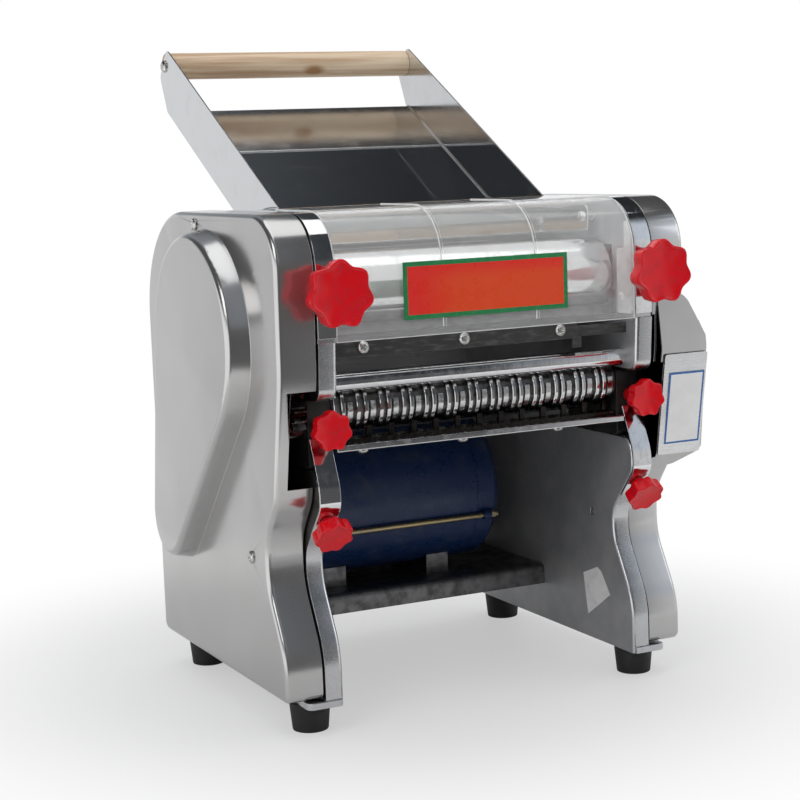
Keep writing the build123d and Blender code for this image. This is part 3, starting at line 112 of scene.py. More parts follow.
def mapped(value, from_low, from_high, to_low=0.0, to_high=1.0):
    """The value moved from one range to another, smoothly and without leaving it."""
    tree = value.id_data
    node = tree.nodes.new("ShaderNodeMapRange")
    node.interpolation_type = "SMOOTHSTEP"
    tree.links.new(value, node.inputs["Value"])
    ends = {"From Min": from_low, "From Max": from_high, "To Min": to_low, "To Max": to_high}
    for socket, number in ends.items():
        node.inputs[socket].default_value = number
    return node.outputs["Result"]


def worked(operation, one, other):
    """One sum on two values; each is a socket or a number."""
    tree = (other if isinstance(one, float) else one).id_data
    node = tree.nodes.new("ShaderNodeMath")
    node.operation = operation
    for socket, value in zip(node.inputs, (one, other)):
        if isinstance(value, float):
            socket.default_value = value
        else:
            tree.links.new(value, socket)
    return node.outputs[0]


def either(factor, one, other):
    """One shader where the factor is 0, the other where it is 1, and a blend between."""
    tree = factor.id_data
    node = tree.nodes.new("ShaderNodeMixShader")
    for socket, value in zip(node.inputs, (factor, one.outputs[0], other.outputs[0])):
        tree.links.new(value, socket)
    return node


def seen_directly(tree):
    """1 where the camera sees a point, also through clear plastic, and a list of the ray's kinds."""
    rays = tree.nodes.new("ShaderNodeLightPath").outputs
    return worked("MAXIMUM", rays["Is Camera Ray"], rays["Is Transmission Ray"]), rays


table_top = bmesh.new()
bmesh.ops.create_circle(table_top, cap_ends=True, segments=96, radius=0.64)
table_finish, shader = new_finish("white_table", (0.86, 0.865, 0.87), 0, 0.55)
tree = shader.id_data
place = tree.nodes.new("ShaderNodeTexCoord")
reach = tree.nodes.new("ShaderNodeVectorMath")
reach.operation = "LENGTH"
tree.links.new(place.outputs["Object"], reach.inputs[0])
seen, rays = seen_directly(tree)
glow = tree.nodes.new("ShaderNodeEmission")
faded = worked("MULTIPLY", seen, mapped(reach.outputs["Value"], 0.20, 0.50, 0.45, 1.0))
mirrored = worked("MULTIPLY", rays["Is Glossy Ray"], mapped(reach.outputs["Value"], 0.35, 0.64, 0.0, 0.6))
lit_table = either(worked("MAXIMUM", faded, mirrored), shader, glow)
tree.links.new(lit_table.outputs[0], tree.nodes["Material Output"].inputs["Surface"])
table = placed("table", made_mesh("table", table_top, [table_finish]))

studio = bpy.data.worlds.new("studio")
bpy.context.scene.world = studio
studio.use_nodes = True
tree = studio.node_tree
tree.nodes.clear()
x, y, z = axes_of(tree, "Generated")
# What polished steel sees: the white corner low at the back, the darker room in front and overhead.
horizon = mapped(y, -0.75, 0.35, 0.09, 0.95)
leftward = mapped(x, -0.75, 0.15, 0.64, 1.0)
horizon = worked("MULTIPLY", horizon, leftward)
horizon = worked("MAXIMUM", horizon, mapped(x, -0.50, -0.78, 0.0, 1.25))
ceiling = mapped(x, 0.05, 0.48, 0.30, 0.025)
ceiling = worked("MULTIPLY", ceiling, mapped(x, -0.38, -0.05, 0.12, 1.0))
height = mapped(z, 0.16, 0.36)
low_part = worked("MULTIPLY", horizon, worked("SUBTRACT", 1.0, height))
tone = worked("ADD", low_part, worked("MULTIPLY", ceiling, height))
# A tall white screen stands at the front right.
screen = mapped(x, 0.45, 0.60, 0.0, 0.9)
screen = worked("MULTIPLY", screen, mapped(y, 0.1, -0.3))
screen = worked("MULTIPLY", screen, mapped(z, 0.66, 0.82, 1.0, 0.0))
tone = worked("MAXIMUM", tone, screen)
mirrored_room, soft_fill, backdrop = (tree.nodes.new("ShaderNodeBackground") for _ in range(3))
room_colour = tree.nodes.new("ShaderNodeMix")
room_colour.data_type = "RGBA"
tree.links.new(height, room_colour.inputs["Factor"])
for socket in room_colour.inputs:
    if socket.type == "RGBA":
        socket.default_value = (0.98, 0.985, 1.0, 1) if socket.name == "A" else (0.82, 0.90, 1.0, 1)
blended = [socket for socket in room_colour.outputs if socket.type == "RGBA"][0]
tree.links.new(blended, mirrored_room.inputs["Color"])
tree.links.new(tone, mirrored_room.inputs["Strength"])
soft_fill.inputs["Color"].default_value = (1, 1, 1, 1)
soft_fill.inputs["Strength"].default_value = 0.55
backdrop.inputs["Color"].default_value = (1, 1, 1, 1)
seen, rays = seen_directly(tree)
by_sight = either(seen, either(rays["Is Glossy Ray"], soft_fill, mirrored_room), backdrop)
world_out = tree.nodes.new("ShaderNodeOutputWorld")
tree.links.new(by_sight.outputs[0], world_out.inputs["Surface"])


def soft_lamp(name, width, radiance, at, aim):
    """Square soft lamp whose own surface shines at the given radiance."""
    data = bpy.data.lights.new(name, "AREA")
    data.size, data.energy = width, radiance * math.pi * width ** 2
    lamp = placed(name, data)
    lamp.location = at
    lamp.rotation_euler = (Vector(aim) - Vector(at)).to_track_quat("-Z", "Y").to_euler()
    lamp.visible_camera = False


soft_lamp("top_lamp", 1.5, 1.25, (0.1, 0.05, 1.9), (0, 0, 0.2))
soft_lamp("front_left_lamp", 1.0, 2.2, (-1.5, -1.1, 1.5), (0, 0, 0.22))
soft_lamp("right_lamp", 0.9, 1.0, (1.7, -0.9, 1.1), (0, 0, 0.2))

camera_at = (-0.64329, -1.339656, 0.41065)
turned_left, looking_down, rolled = math.radians(25.87), math.radians(7.6), math.radians(-2.05)
camera_data = bpy.data.cameras.new("camera")
camera_data.sensor_width, camera_data.lens = 36.0, 84.3
camera_data.clip_start, camera_data.clip_end = 0.05, 60
camera = placed("camera", camera_data)
camera.matrix_world = (Matrix.Translation(camera_at) @ Matrix.Rotation(-turned_left, 4, "Z")
                       @ Matrix.Rotation(math.pi / 2 - looking_down, 4, "X")
                       @ Matrix.Rotation(rolled, 4, "Z"))
bpy.context.scene.camera = camera
bpy.context.scene.view_settings.view_transform = "Standard"


# ---- Rubber feet ----
# Four tapered feet of black moulded rubber, each held by a countersunk machine screw that goes up
# through it into a lug of the cast frame.  The rubber is matt, faintly pebbled and dusty.

def noise(shader, stretch, detail=3.0, rough=0.55, seed=0.0):
    """Noise over the piece: so many bumps to the metre, one number or one for each axis."""
    tree = shader.id_data
    place = tree.nodes.new("ShaderNodeTexCoord")
    mapping = tree.nodes.new("ShaderNodeMapping")
    mapping.inputs["Scale"].default_value = stretch if isinstance(stretch, tuple) else (stretch,) * 3
    mapping.inputs["Location"].default_value = (seed, seed * 0.7, seed * 1.3)
    node = tree.nodes.new("ShaderNodeTexNoise")
    node.inputs["Scale"].default_value = 1.0
    node.inputs["Detail"].default_value = detail
    node.inputs["Roughness"].default_value = rough
    tree.links.new(place.outputs["Object"], mapping.inputs["Vector"])
    tree.links.new(mapping.outputs["Vector"], node.inputs["Vector"])
    return node.outputs["Fac"]


def tinted(shader, factor, one, other):
    """Base colour between two colours."""
    tree = shader.id_data
    node = tree.nodes.new("ShaderNodeMix")
    node.data_type = "RGBA"
    tree.links.new(factor, node.inputs["Factor"])
    for socket in node.inputs:
        if socket.type == "RGBA":
            socket.default_value = (*(one if socket.name == "A" else other), 1)
    result = [socket for socket in node.outputs if socket.type == "RGBA"][0]
    tree.links.new(result, shader.inputs["Base Color"])


def glossed(shader, value):
    """Roughness that follows the value."""
    shader.id_data.links.new(value, shader.inputs["Roughness"])


def raised(shader, height, depth, strength=0.5):
    """Bumps of the given depth in the shader's normal."""
    tree = shader.id_data
    node = tree.nodes.new("ShaderNodeBump")
    node.inputs["Strength"].default_value = strength
    node.inputs["Distance"].default_value = depth
    tree.links.new(height, node.inputs["Height"])
    tree.links.new(node.outputs[0], shader.inputs["Normal"])


def made_solid(piece):
    """The piece's modifiers become plain mesh and are removed."""
    bpy.context.view_layer.update()
    graph = bpy.context.evaluated_depsgraph_get()
    shaped = piece.evaluated_get(graph)
    mesh = bpy.data.meshes.new_from_object(shaped, preserve_all_data_layers=True, depsgraph=graph)
    piece.modifiers.clear()
    piece.data = mesh
    mesh.name = piece.name


def finished_copy(name, finish, edge=0.0004, sharp=30.0, joined=True):
    """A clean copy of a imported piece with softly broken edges; it stands for the piece."""
    weld, level, strayed = 2e-6, math.radians(0.25), 0.45 * edge
    source = frame["nodes"][name]
    mesh = source.data.copy()
    mesh.name = name + "_made"
    if "custom_normal" in mesh.attributes:
        mesh.attributes.remove(mesh.attributes["custom_normal"])
    work = bmesh.new()
    work.from_mesh(mesh)
    bmesh.ops.remove_doubles(work, verts=work.verts[:], dist=weld)
    if joined:
        bmesh.ops.dissolve_limit(work, angle_limit=level, verts=work.verts[:], edges=work.edges[:])
    for face in work.faces:
        face.smooth = True
    work.to_mesh(mesh)
    work.free()
    mesh.materials.clear()
    mesh.materials.append(finish)
    piece = placed(name + "_made", mesh)
    if edge:
        bevel = piece.modifiers.new("broken_edges", "BEVEL")
        bevel.limit_method, bevel.angle_limit = "ANGLE", math.radians(sharp)
        bevel.width, bevel.segments, bevel.use_clamp_overlap = edge, 2, False
        bevel.harden_normals = True
        made_solid(piece)
        # The bevel can throw a corner out of a crowded spot; such corners go back to the surface.
        packed = BVHTree.FromPolygons([corner.co for corner in source.data.vertices],
                                      [tuple(face.vertices) for face in source.data.polygons])
        for corner in piece.data.vertices:
            nearest, _, _, distance = packed.find_nearest(corner.co)
            if distance > strayed:
                corner.co = nearest
    else:
        mesh.set_sharp_from_angle(angle=math.radians(sharp))
    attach(piece, source["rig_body"])
    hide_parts(name)
    return piece


rubber, shader = new_finish("black_rubber", (0.012, 0.012, 0.013), 0, 0.6)
pebbled = noise(shader, 1400, 2)
dusty = noise(shader, 60, 4, 0.6, 3.0)
tinted(shader, mapped(dusty, 0.45, 0.75), (0.010, 0.010, 0.011), (0.032, 0.031, 0.030))
glossed(shader, mapped(dusty, 0.3, 0.7, 0.5, 0.68))
raised(shader, pebbled, 0.00012, 0.35)
finished_copy("feet", rubber, 0.0008)

foot_radius, foot_recess = 0.015, 0.008
foot_low, foot_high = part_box("feet")
foot_places = [(x, y, foot_recess, (0, 0, -1))
               for x in (foot_radius - foot_high.x, foot_high.x - foot_radius)
               for y in (foot_low.y + foot_radius, foot_high.y - foot_radius)]

zinc, shader = new_finish("zinc_plate", (0.60, 0.60, 0.58), 1, 0.25)
smudged = noise(shader, 500, 3)
tinted(shader, mapped(smudged, 0.35, 0.7), (0.66, 0.66, 0.65), (0.46, 0.45, 0.42))
glossed(shader, mapped(smudged, 0.3, 0.7, 0.2, 0.38))
raised(shader, noise(shader, 2600, 1), 0.00004, 0.3)


def joined_rows(work, one, other, finish=0):
    """Faces between two rings of corners; a corner that repeats makes a triangle."""
    count = len(one)
    for k in range(count):
        after = (k + 1) % count
        corners = list(dict.fromkeys((one[k], one[after], other[after], other[k])))
        if len(corners) > 2:
            work.faces.new(corners).material_index = finish


def screw_head(name, radius, rise, recess):
    """Low-domed head round the Z axis with a cross or a slot pressed in its crown."""
    segments, rings, ring_power, skirt_angle = 36, 11, 0.9, 48
    crown_drop, crown_power, brim = 0.62, 2.4, 0.34
    arm = radius * (0.58 if recess == "cross" else 1.2)
    reach, wall, floor, end_wall = radius * 0.208, radius * 0.091, rise * 0.42, radius * 0.14
    skirt = ((rise * 0.12, 1.0), (-rise * 0.1, 0.97))
    work = bmesh.new()

    def height(x, y):
        r = math.hypot(x, y) / radius
        dome = rise * (1 - crown_drop * r ** crown_power) if r < 0.999 else rise * brim
        cut = 0.0
        for along, aside in [(x, y), (y, x)] if recess == "cross" else [(x, y)]:
            if abs(along) < arm and abs(aside) < reach:
                edge = min(1.0, (reach - abs(aside)) / wall)
                end = min(1.0, (arm - abs(along)) / end_wall) if recess == "cross" else 1.0
                cut = max(cut, edge * end)
        return dome - floor * cut

    middle = work.verts.new((0, 0, height(0, 0)))
    last = [middle] * segments
    for ring in range(1, rings + 1):
        r = radius * (ring / rings) ** ring_power
        row = []
        for k in range(segments):
            turn = 2 * math.pi * k / segments
            x, y = r * math.cos(turn), r * math.sin(turn)
            row.append(work.verts.new((x, y, height(x, y))))
        joined_rows(work, last, row)
        last = row
    for z, grow in skirt:
        row = [work.verts.new((v.co.x * grow, v.co.y * grow, z)) for v in last]
        joined_rows(work, last, row)
        last = row
    work.faces.new(list(reversed(last)))
    bmesh.ops.recalc_face_normals(work, faces=work.faces[:])
    return placed(name, made_mesh(name, work, sharp=skirt_angle))


def node_tree_of(name, sockets):
    """A Geometry Nodes tree with named inputs and one geometry output."""
    tree = bpy.data.node_groups.new(name, "GeometryNodeTree")
    tree.interface.new_socket("Geometry", in_out="INPUT", socket_type="NodeSocketGeometry")
    for label, kind in sockets:
        tree.interface.new_socket(label, in_out="INPUT", socket_type=kind)
    tree.interface.new_socket("Geometry", in_out="OUTPUT", socket_type="NodeSocketGeometry")
    return tree, tree.nodes.new("NodeGroupInput"), tree.nodes.new("NodeGroupOutput")


def run_through(piece, tree, **values):
    """Run a piece through a tree with its named inputs set, and keep the result as plain mesh."""
    modifier = piece.modifiers.new(tree.name, "NODES")
    modifier.node_group = tree
    for item in tree.interface.items_tree:
        if item.in_out == "INPUT" and item.name in values:
            modifier[item.identifier] = values[item.name]
    made_solid(piece)


place_heads, given, result = node_tree_of(
    "heads_at_their_places", [("Head", "NodeSocketObject"), ("Finish", "NodeSocketMaterial")])
head_shape = place_heads.nodes.new("GeometryNodeObjectInfo")
head_shape.inputs["As Instance"].default_value = True
outward = place_heads.nodes.new("GeometryNodeInputNamedAttribute")
outward.data_type = "FLOAT_VECTOR"
outward.inputs["Name"].default_value = "outward"
turned = place_heads.nodes.new("FunctionNodeAlignRotationToVector")
turned.axis = "Z"
scatter = place_heads.nodes.new("GeometryNodeInstanceOnPoints")
whole = place_heads.nodes.new("GeometryNodeRealizeInstances")
coated = place_heads.nodes.new("GeometryNodeSetMaterial")
link = place_heads.links.new
link(given.outputs["Head"], head_shape.inputs["Object"])
link(given.outputs["Geometry"], scatter.inputs["Points"])
link(head_shape.outputs["Geometry"], scatter.inputs["Instance"])
link([o for o in outward.outputs if o.enabled][0], turned.inputs["Vector"])
link(turned.outputs[0], scatter.inputs["Rotation"])
link(scatter.outputs[0], whole.inputs[0])
link(whole.outputs[0], coated.inputs["Geometry"])
link(given.outputs["Finish"], coated.inputs["Material"])
link(coated.outputs[0], result.inputs[0])


def heads_at(name, places, radius, rise, recess="cross"):
    """Zinc-plated heads of one size at their places, each (x, y, z, outward direction)."""
    mesh = bpy.data.meshes.new(name)
    mesh.from_pydata([place[:3] for place in places], [], [])
    directions = mesh.attributes.new("outward", "FLOAT_VECTOR", "POINT")
    for k, place in enumerate(places):
        directions.data[k].vector = place[3]
    piece = placed(name, mesh)
    head = screw_head(name + "_shape", radius, rise, recess)
    run_through(piece, place_heads, Head=head, Finish=zinc)
    bpy.data.objects.remove(head)
    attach(piece, "machine")
    return piece


heads_at("foot_screws", foot_places, 0.0052, 0.0024)


# ---- Cast frames ----
# Two aluminium castings carry everything.  Their edges and outer faces are tumbled to a soft grey
# sheen with a fine grain; the faces between them are duller, and those under a cover are coloured
# dark as painted shade.

cast_metal, shader = new_finish("cast_aluminium", (0.62, 0.62, 0.63), 1, 0.3)
grain = noise(shader, 1900, 2)
blotched = noise(shader, 38, 4, 0.6, 5.0)
tinted(shader, mapped(blotched, 0.3, 0.72), (0.60, 0.605, 0.62), (0.67, 0.67, 0.675))
mottle = worked("ADD", worked("MULTIPLY", grain, 0.5), worked("MULTIPLY", blotched, 0.5))
glossed(shader, mapped(mottle, 0.35, 0.65, 0.22, 0.30))
raised(shader, grain, 0.00003, 0.12)
# Faces of a casting under a cover: a dark colour painted there as shade, with a mottle in it.
casting_painted_shade, shader = new_finish("greasy_casting", (0.12, 0.115, 0.11), 1, 0.5)
tinted(shader, mapped(noise(shader, 50, 4), 0.35, 0.7), (0.13, 0.125, 0.12), (0.05, 0.045, 0.04))
raised(shader, noise(shader, 1200, 2), 0.00005, 0.3)
inner_casting, shader = new_finish("dull_casting", (0.42, 0.42, 0.43), 0.5, 0.45)
blotched = noise(shader, 38, 4, 0.6, 5.0)
tinted(shader, mapped(blotched, 0.3, 0.72), (0.36, 0.365, 0.38), (0.46, 0.46, 0.465))
raised(shader, noise(shader, 1500, 2), 0.00005, 0.2)


def faces_take(piece, finish, chosen):
    """The chosen faces of a piece take another finish."""
    piece.data.materials.append(finish)
    for face in piece.data.polygons:
        if chosen(face):
            face.material_index = len(piece.data.materials) - 1


facing, hidden_height = 0.9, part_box("left_frame")[0].z + 0.010
for side, word in ((-1, "left"), (1, "right")):
    casting = finished_copy(word + "_frame", cast_metal, 0.0005)
    # Outward faces under the covers take the painted shade; inward faces take the duller finish.
    faces_take(casting, casting_painted_shade,
               lambda face: face.normal.x * side > facing and face.center.z > hidden_height)
    faces_take(casting, inner_casting, lambda face: face.normal.x * side < -facing)

# A bare paper sticker on the inner side of the right frame, a little dog-eared.
paper, shader = new_finish("white_paper", (0.80, 0.80, 0.79), 0, 0.55)
tinted(shader, mapped(noise(shader, 90, 4), 0.4, 0.75), (0.93, 0.93, 0.93), (0.82, 0.82, 0.82))
raised(shader, noise(shader, 700, 2), 0.00005, 0.3)
sticker_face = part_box("right_frame")[0].x
sticker_corners = [(-0.0855, 0.0719), (-0.1065, 0.0800), (-0.1120, 0.0775), (-0.1245, 0.0609),
                   (-0.0915, 0.0392)]
glue, paper_top = 0.00002, 0.00016
work = bmesh.new()
sheets = [[work.verts.new((sticker_face - rise, y, z)) for y, z in sticker_corners]
          for rise in (glue, paper_top)]
work.faces.new(sheets[0])
work.faces.new(sheets[1][::-1])
joined_rows(work, *sheets)
bmesh.ops.recalc_face_normals(work, faces=work.faces[:])
sticker = placed("bare_sticker", made_mesh("bare_sticker", work, [paper]))
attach(sticker, "machine")


# ---- Tie rods ----
# Three bright steel rods space the frames apart.  They are turned, ground and plated, so the
# plate carries faint rings and a few dull smears along it.

def plated(name, colour, low, high, rings, ring_depth):
    """Bright plated steel: smears in its gloss, and fine machining rings."""
    finish, shader = new_finish(name, colour, 1, low)
    smears = noise(shader, 120, 4, 0.62, 2.0)
    glossed(shader, mapped(smears, 0.38, 0.72, low, high))
    tinted(shader, mapped(smears, 0.4, 0.8), colour, tuple(c * 0.86 for c in colour))
    raised(shader, noise(shader, rings, 1), ring_depth, 0.35)
    return finish


bright_rod = plated("plated_rod", (0.80, 0.80, 0.81), 0.07, 0.2, (1500, 30, 30), 0.00003)
finished_copy("tie_rods", bright_rod, 0.0003)


# ---- Motor and its shelf ----
# The motor lies on a folded steel shelf between the frames: a rolled shell and two cast bells in
# dark blue enamel, clamped by four yellow-plated through bolts, with a plain steel panel behind.

blue_enamel, shader = new_finish("blue_enamel", (0.012, 0.03, 0.10), 0, 0.32)
orange_peel = noise(shader, 420, 2)
worn = noise(shader, 70, 5, 0.65, 9.0)
tinted(shader, mapped(worn, 0.5, 0.78), (0.010, 0.028, 0.095), (0.045, 0.06, 0.11))
glossed(shader, mapped(worn, 0.35, 0.7, 0.26, 0.5))
raised(shader, orange_peel, 0.00015, 0.4)
finished_copy("motor_body", blue_enamel, 0.0)
finished_copy("motor_bells", blue_enamel, 0.0006)


def dress(finish, *names):
    """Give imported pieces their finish."""
    for name in names:
        for slot in frame["nodes"][name].material_slots:
            slot.material = finish


yellow_plate, shader = new_finish("yellow_passivate", (0.62, 0.47, 0.18), 1, 0.28)
rainbow = noise(shader, 260, 3)
tinted(shader, mapped(rainbow, 0.3, 0.7), (0.66, 0.52, 0.22), (0.50, 0.42, 0.30))
raised(shader, noise(shader, 2200, 1), 0.00003, 0.3)
dress(yellow_plate, "motor_bolts")

oiled_steel, shader = new_finish("oiled_sheet", (0.22, 0.22, 0.225), 1, 0.38)
mill = noise(shader, (18, 900, 900), 2)
spotted = noise(shader, 110, 4, 0.6, 4.0)
tinted(shader, mapped(spotted, 0.35, 0.75), (0.24, 0.24, 0.245), (0.13, 0.125, 0.12))
glossed(shader, mapped(spotted, 0.3, 0.7, 0.3, 0.5))
raised(shader, mill, 0.00005, 0.25)
finished_copy("motor_plate", oiled_steel, 0.0005)


def brushed(name, colour, low, high, run):
    """Brushed stainless sheet: fine scratches along one direction, with a soft cloudy sheen."""
    finish, shader = new_finish(name, colour, 1, low)
    scratches = noise(shader, run, 2, 0.7)
    clouds = noise(shader, 22, 3, 0.5, 7.0)
    both = worked("ADD", worked("MULTIPLY", scratches, 0.6), worked("MULTIPLY", clouds, 0.4))
    glossed(shader, mapped(both, 0.36, 0.64, low, high))
    light, dark = (tuple(c * share for c in colour) for share in (1.01, 0.97))
    tinted(shader, mapped(clouds, 0.3, 0.75), light, dark)
    raised(shader, scratches, 0.00002, 0.1)
    return finish


back_sheet = brushed("brushed_back", (0.60, 0.60, 0.605), 0.26, 0.4, (12, 1600, 1600))
finished_copy("back_panel", back_sheet, 0.0004)


# ---- Rollers, bearings and scrapers ----
# Two ground and hard-chromed rollers draw the dough in.  The rear one turns in bronze bushes, the
# front one in black nylon blocks that slide, and a spring-steel blade cleans each from below.

roller_chrome = plated("roller_chrome", (0.74, 0.74, 0.745), 0.12, 0.26, (1300, 12, 12), 0.00004)
finished_copy("front_roller", roller_chrome, 0.0)
finished_copy("rear_roller", roller_chrome, 0.0)

black_nylon, shader = new_finish("black_nylon", (0.016, 0.014, 0.013), 0, 0.42)
rubbed = noise(shader, 80, 5, 0.6, 1.0)
tinted(shader, mapped(rubbed, 0.42, 0.75), (0.014, 0.0125, 0.012), (0.050, 0.044, 0.041))
glossed(shader, mapped(rubbed, 0.3, 0.7, 0.34, 0.55))
raised(shader, noise(shader, 900, 2), 0.00006, 0.3)
finished_copy("front_bearings", black_nylon, 0.0004)

bronze, shader = new_finish("sintered_bronze", (0.50, 0.32, 0.14), 1, 0.4)
pores = noise(shader, 2400, 2)
tinted(shader, mapped(pores, 0.35, 0.65), (0.54, 0.36, 0.17), (0.33, 0.20, 0.09))
raised(shader, pores, 0.00006, 0.4)
dress(bronze, "rear_bearings")
dress(oiled_steel, "front_scraper", "rear_scraper")


# ---- Gears and belt drive ----
# The motor's small pulley drives a big one through a wrapped rubber belt; behind it machined steel
# gears, darkened by grease between their teeth, pass the turn to the rollers and the cutters.

gear_metal, shader = new_finish("greased_gear_steel", (0.16, 0.155, 0.15), 1, 0.38)
grease = noise(shader, 150, 4, 0.6, 6.0)
tinted(shader, mapped(grease, 0.42, 0.7), (0.19, 0.185, 0.18), (0.06, 0.052, 0.045))
glossed(shader, mapped(grease, 0.35, 0.7, 0.34, 0.16))
raised(shader, noise(shader, (40, 1300, 1300), 1), 0.00004, 0.3)
dress(gear_metal, "front_roller_gear", "rear_roller_gear", "gear_cluster", "idler_gear", "front_cutter_gear",
      "rear_cutter_gear", "layshaft", "motor_pulley")
dress(cast_metal, "drive_pulley")
dress(zinc, "idler_stud")

belt_cover, shader = new_finish("wrapped_belt", (0.02, 0.02, 0.021), 0, 0.7)
weave = noise(shader, (1800, 700, 700), 1)
tinted(shader, mapped(weave, 0.4, 0.65), (0.016, 0.016, 0.017), (0.042, 0.041, 0.040))
raised(shader, weave, 0.0001, 0.5)
dress(belt_cover, "belt")


# ---- Ring cutters ----
# Each cutter is a steel shaft with thirteen ground discs; every disc has a groove turned in its
# rim, and it runs in the gap between two discs of the other cutter.  The discs are bright ground
# steel; the rim grooves and the shaft's core between the discs are coloured dark as painted shade.

disc_count, disc_pitch, disc_width = 13, 0.018, 0.00876
disc_radius, disc_core_radius, cutter_journal = 0.018, 0.0145, 0.0065
rim_groove_width, rim_groove_depth = 0.0030, 0.0017
rim_chamfer = 0.00035

cutter_steel = plated("ground_cutter_steel", (0.70, 0.70, 0.70), 0.1, 0.24, (2200, 40, 40), 0.00003)
# Painted shade: the rim grooves and the shaft's core between the discs are coloured dark, mottled.
groove_painted_shade, shader = new_finish("dull_turned_steel", (0.16, 0.155, 0.15), 1, 0.4)
residue_and_shade = noise(shader, 260, 4, 0.6, 8.0)
tinted(shader, mapped(residue_and_shade, 0.4, 0.7), (0.18, 0.175, 0.17), (0.07, 0.065, 0.06))
raised(shader, noise(shader, (2200, 40, 40), 1), 0.00004, 0.3)

repeat_along, given, result = node_tree_of(
    "repeated_along_x", [("Count", "NodeSocketInt"), ("Pitch", "NodeSocketFloat")])
spacing = repeat_along.nodes.new("ShaderNodeCombineXYZ")
stations = repeat_along.nodes.new("GeometryNodeMeshLine")
scatter = repeat_along.nodes.new("GeometryNodeInstanceOnPoints")
whole = repeat_along.nodes.new("GeometryNodeRealizeInstances")
link = repeat_along.links.new
link(given.outputs["Pitch"], spacing.inputs["X"])
link(given.outputs["Count"], stations.inputs["Count"])
link(spacing.outputs[0], stations.inputs["Offset"])
link(stations.outputs[0], scatter.inputs["Points"])
link(given.outputs["Geometry"], scatter.inputs["Instance"])
link(scatter.outputs[0], whole.inputs[0])
link(whole.outputs[0], result.inputs[0])


def turned_piece(name, profile, centre, finishes):
    """Piece turned round an axis along X through the centre: profile of (x, radius, finish)."""
    segments, hard_edge = 64, 30.0
    work = bmesh.new()
    rings = []
    for x, radius, _ in profile:
        if rings and (x, radius) == profile[0][:2]:
            rings.append(rings[0])
        elif radius == 0:
            rings.append([work.verts.new((x, centre.y, centre.z))] * segments)
        else:
            turns = [2 * math.pi * k / segments for k in range(segments)]
            rings.append([work.verts.new((x, centre.y + radius * math.cos(turn),
                                          centre.z + radius * math.sin(turn))) for turn in turns])
    for one, other, (_, _, finish) in zip(rings, rings[1:], profile):
        joined_rows(work, one, other, finish)
    bmesh.ops.recalc_face_normals(work, faces=work.faces[:])
    return placed(name, made_mesh(name, work, finishes, hard_edge))


def disc_profile(middle):
    """Outline of one disc about its middle: bore, chamfered rim and the groove in it, and closed."""
    half, groove = disc_width / 2, rim_groove_width / 2
    bore, floor = disc_core_radius - 0.0008, disc_radius - rim_groove_depth
    rim, chamfered, c = disc_radius, disc_radius - rim_chamfer, rim_chamfer
    steps = [(-half, bore, 0), (-half, chamfered, 0), (c - half, rim, 0), (-groove - c, rim, 0),
             (-groove, chamfered, 1), (-groove, floor, 1), (groove, floor, 1), (groove, chamfered, 0),
             (groove + c, rim, 0), (half - c, rim, 0), (half, chamfered, 0), (half, bore, 0),
             (-half, bore, 0)]
    return [(middle + x, radius, finish) for x, radius, finish in steps]


core_end, end_chamfer = 0.1176, 0.0004
for node_name, share in (("front_cutter", 0.25), ("rear_cutter", 0.75)):
    low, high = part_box(node_name)
    centre = (low + high) / 2
    first = disc_pitch * (share - disc_count / 2)
    discs = turned_piece(node_name + "_discs", disc_profile(first), centre, [cutter_steel, groove_painted_shade])
    run_through(discs, repeat_along, Count=disc_count, Pitch=disc_pitch)
    journal, chamfered = cutter_journal, cutter_journal - end_chamfer
    shaft_profile = [(low.x, 0, 0), (low.x, chamfered, 0), (low.x + end_chamfer, journal, 0),
                     (-core_end, journal, 0), (-core_end, disc_core_radius, 1),
                     (core_end, disc_core_radius, 0), (core_end, journal, 0),
                     (high.x - end_chamfer, journal, 0), (high.x, chamfered, 0), (high.x, 0, 0)]
    shaft = turned_piece(node_name + "_shaft", shaft_profile, centre, [cutter_steel, groove_painted_shade])
    for piece in (discs, shaft):
        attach(piece, node_name)
    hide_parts(node_name)


# ---- Cutter cassette ----
# The cutters run in two dark nylon end blocks that slide into the frames, joined at the front by a
# bright flat bar; two steel combs strip the noodles off the rims, their fingers coloured dark below
# the tips as painted shade.

finished_copy("left_cutter_plate", black_nylon, 0.0005)
finished_copy("right_cutter_plate", black_nylon, 0.0005)
bright_sheet = plated("bright_flat_bar", (0.76, 0.76, 0.77), 0.09, 0.24, (14, 900, 900), 0.00003)
finished_copy("cutter_bar", bright_sheet, 0.0005)
comb_steel, shader = new_finish("comb_steel", (0.30, 0.30, 0.30), 1, 0.22)
glossed(shader, mapped(noise(shader, 300, 4), 0.35, 0.7, 0.16, 0.35))
# Painted shade: the comb is coloured dark below the rim tips and light at the tips.
tip_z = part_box("front_cutter")[0].z + disc_radius - 0.003
tip_lit_painted_shade_below = mapped(axes_of(shader.id_data)["Z"], tip_z - 0.010, tip_z)
tinted(shader, tip_lit_painted_shade_below, (0.05, 0.045, 0.04), (0.72, 0.72, 0.72))
raised(shader, noise(shader, (900, 40, 900), 2), 0.00004, 0.3)
dress(comb_steel, "front_comb", "rear_comb")


# ---- Side covers ----
# Deep-drawn stainless pans, satin-brushed before drawing, with a stretched bulge over the belt on
# the left and one for the switch on the right.  Posts and domed screws hold them off the frames.

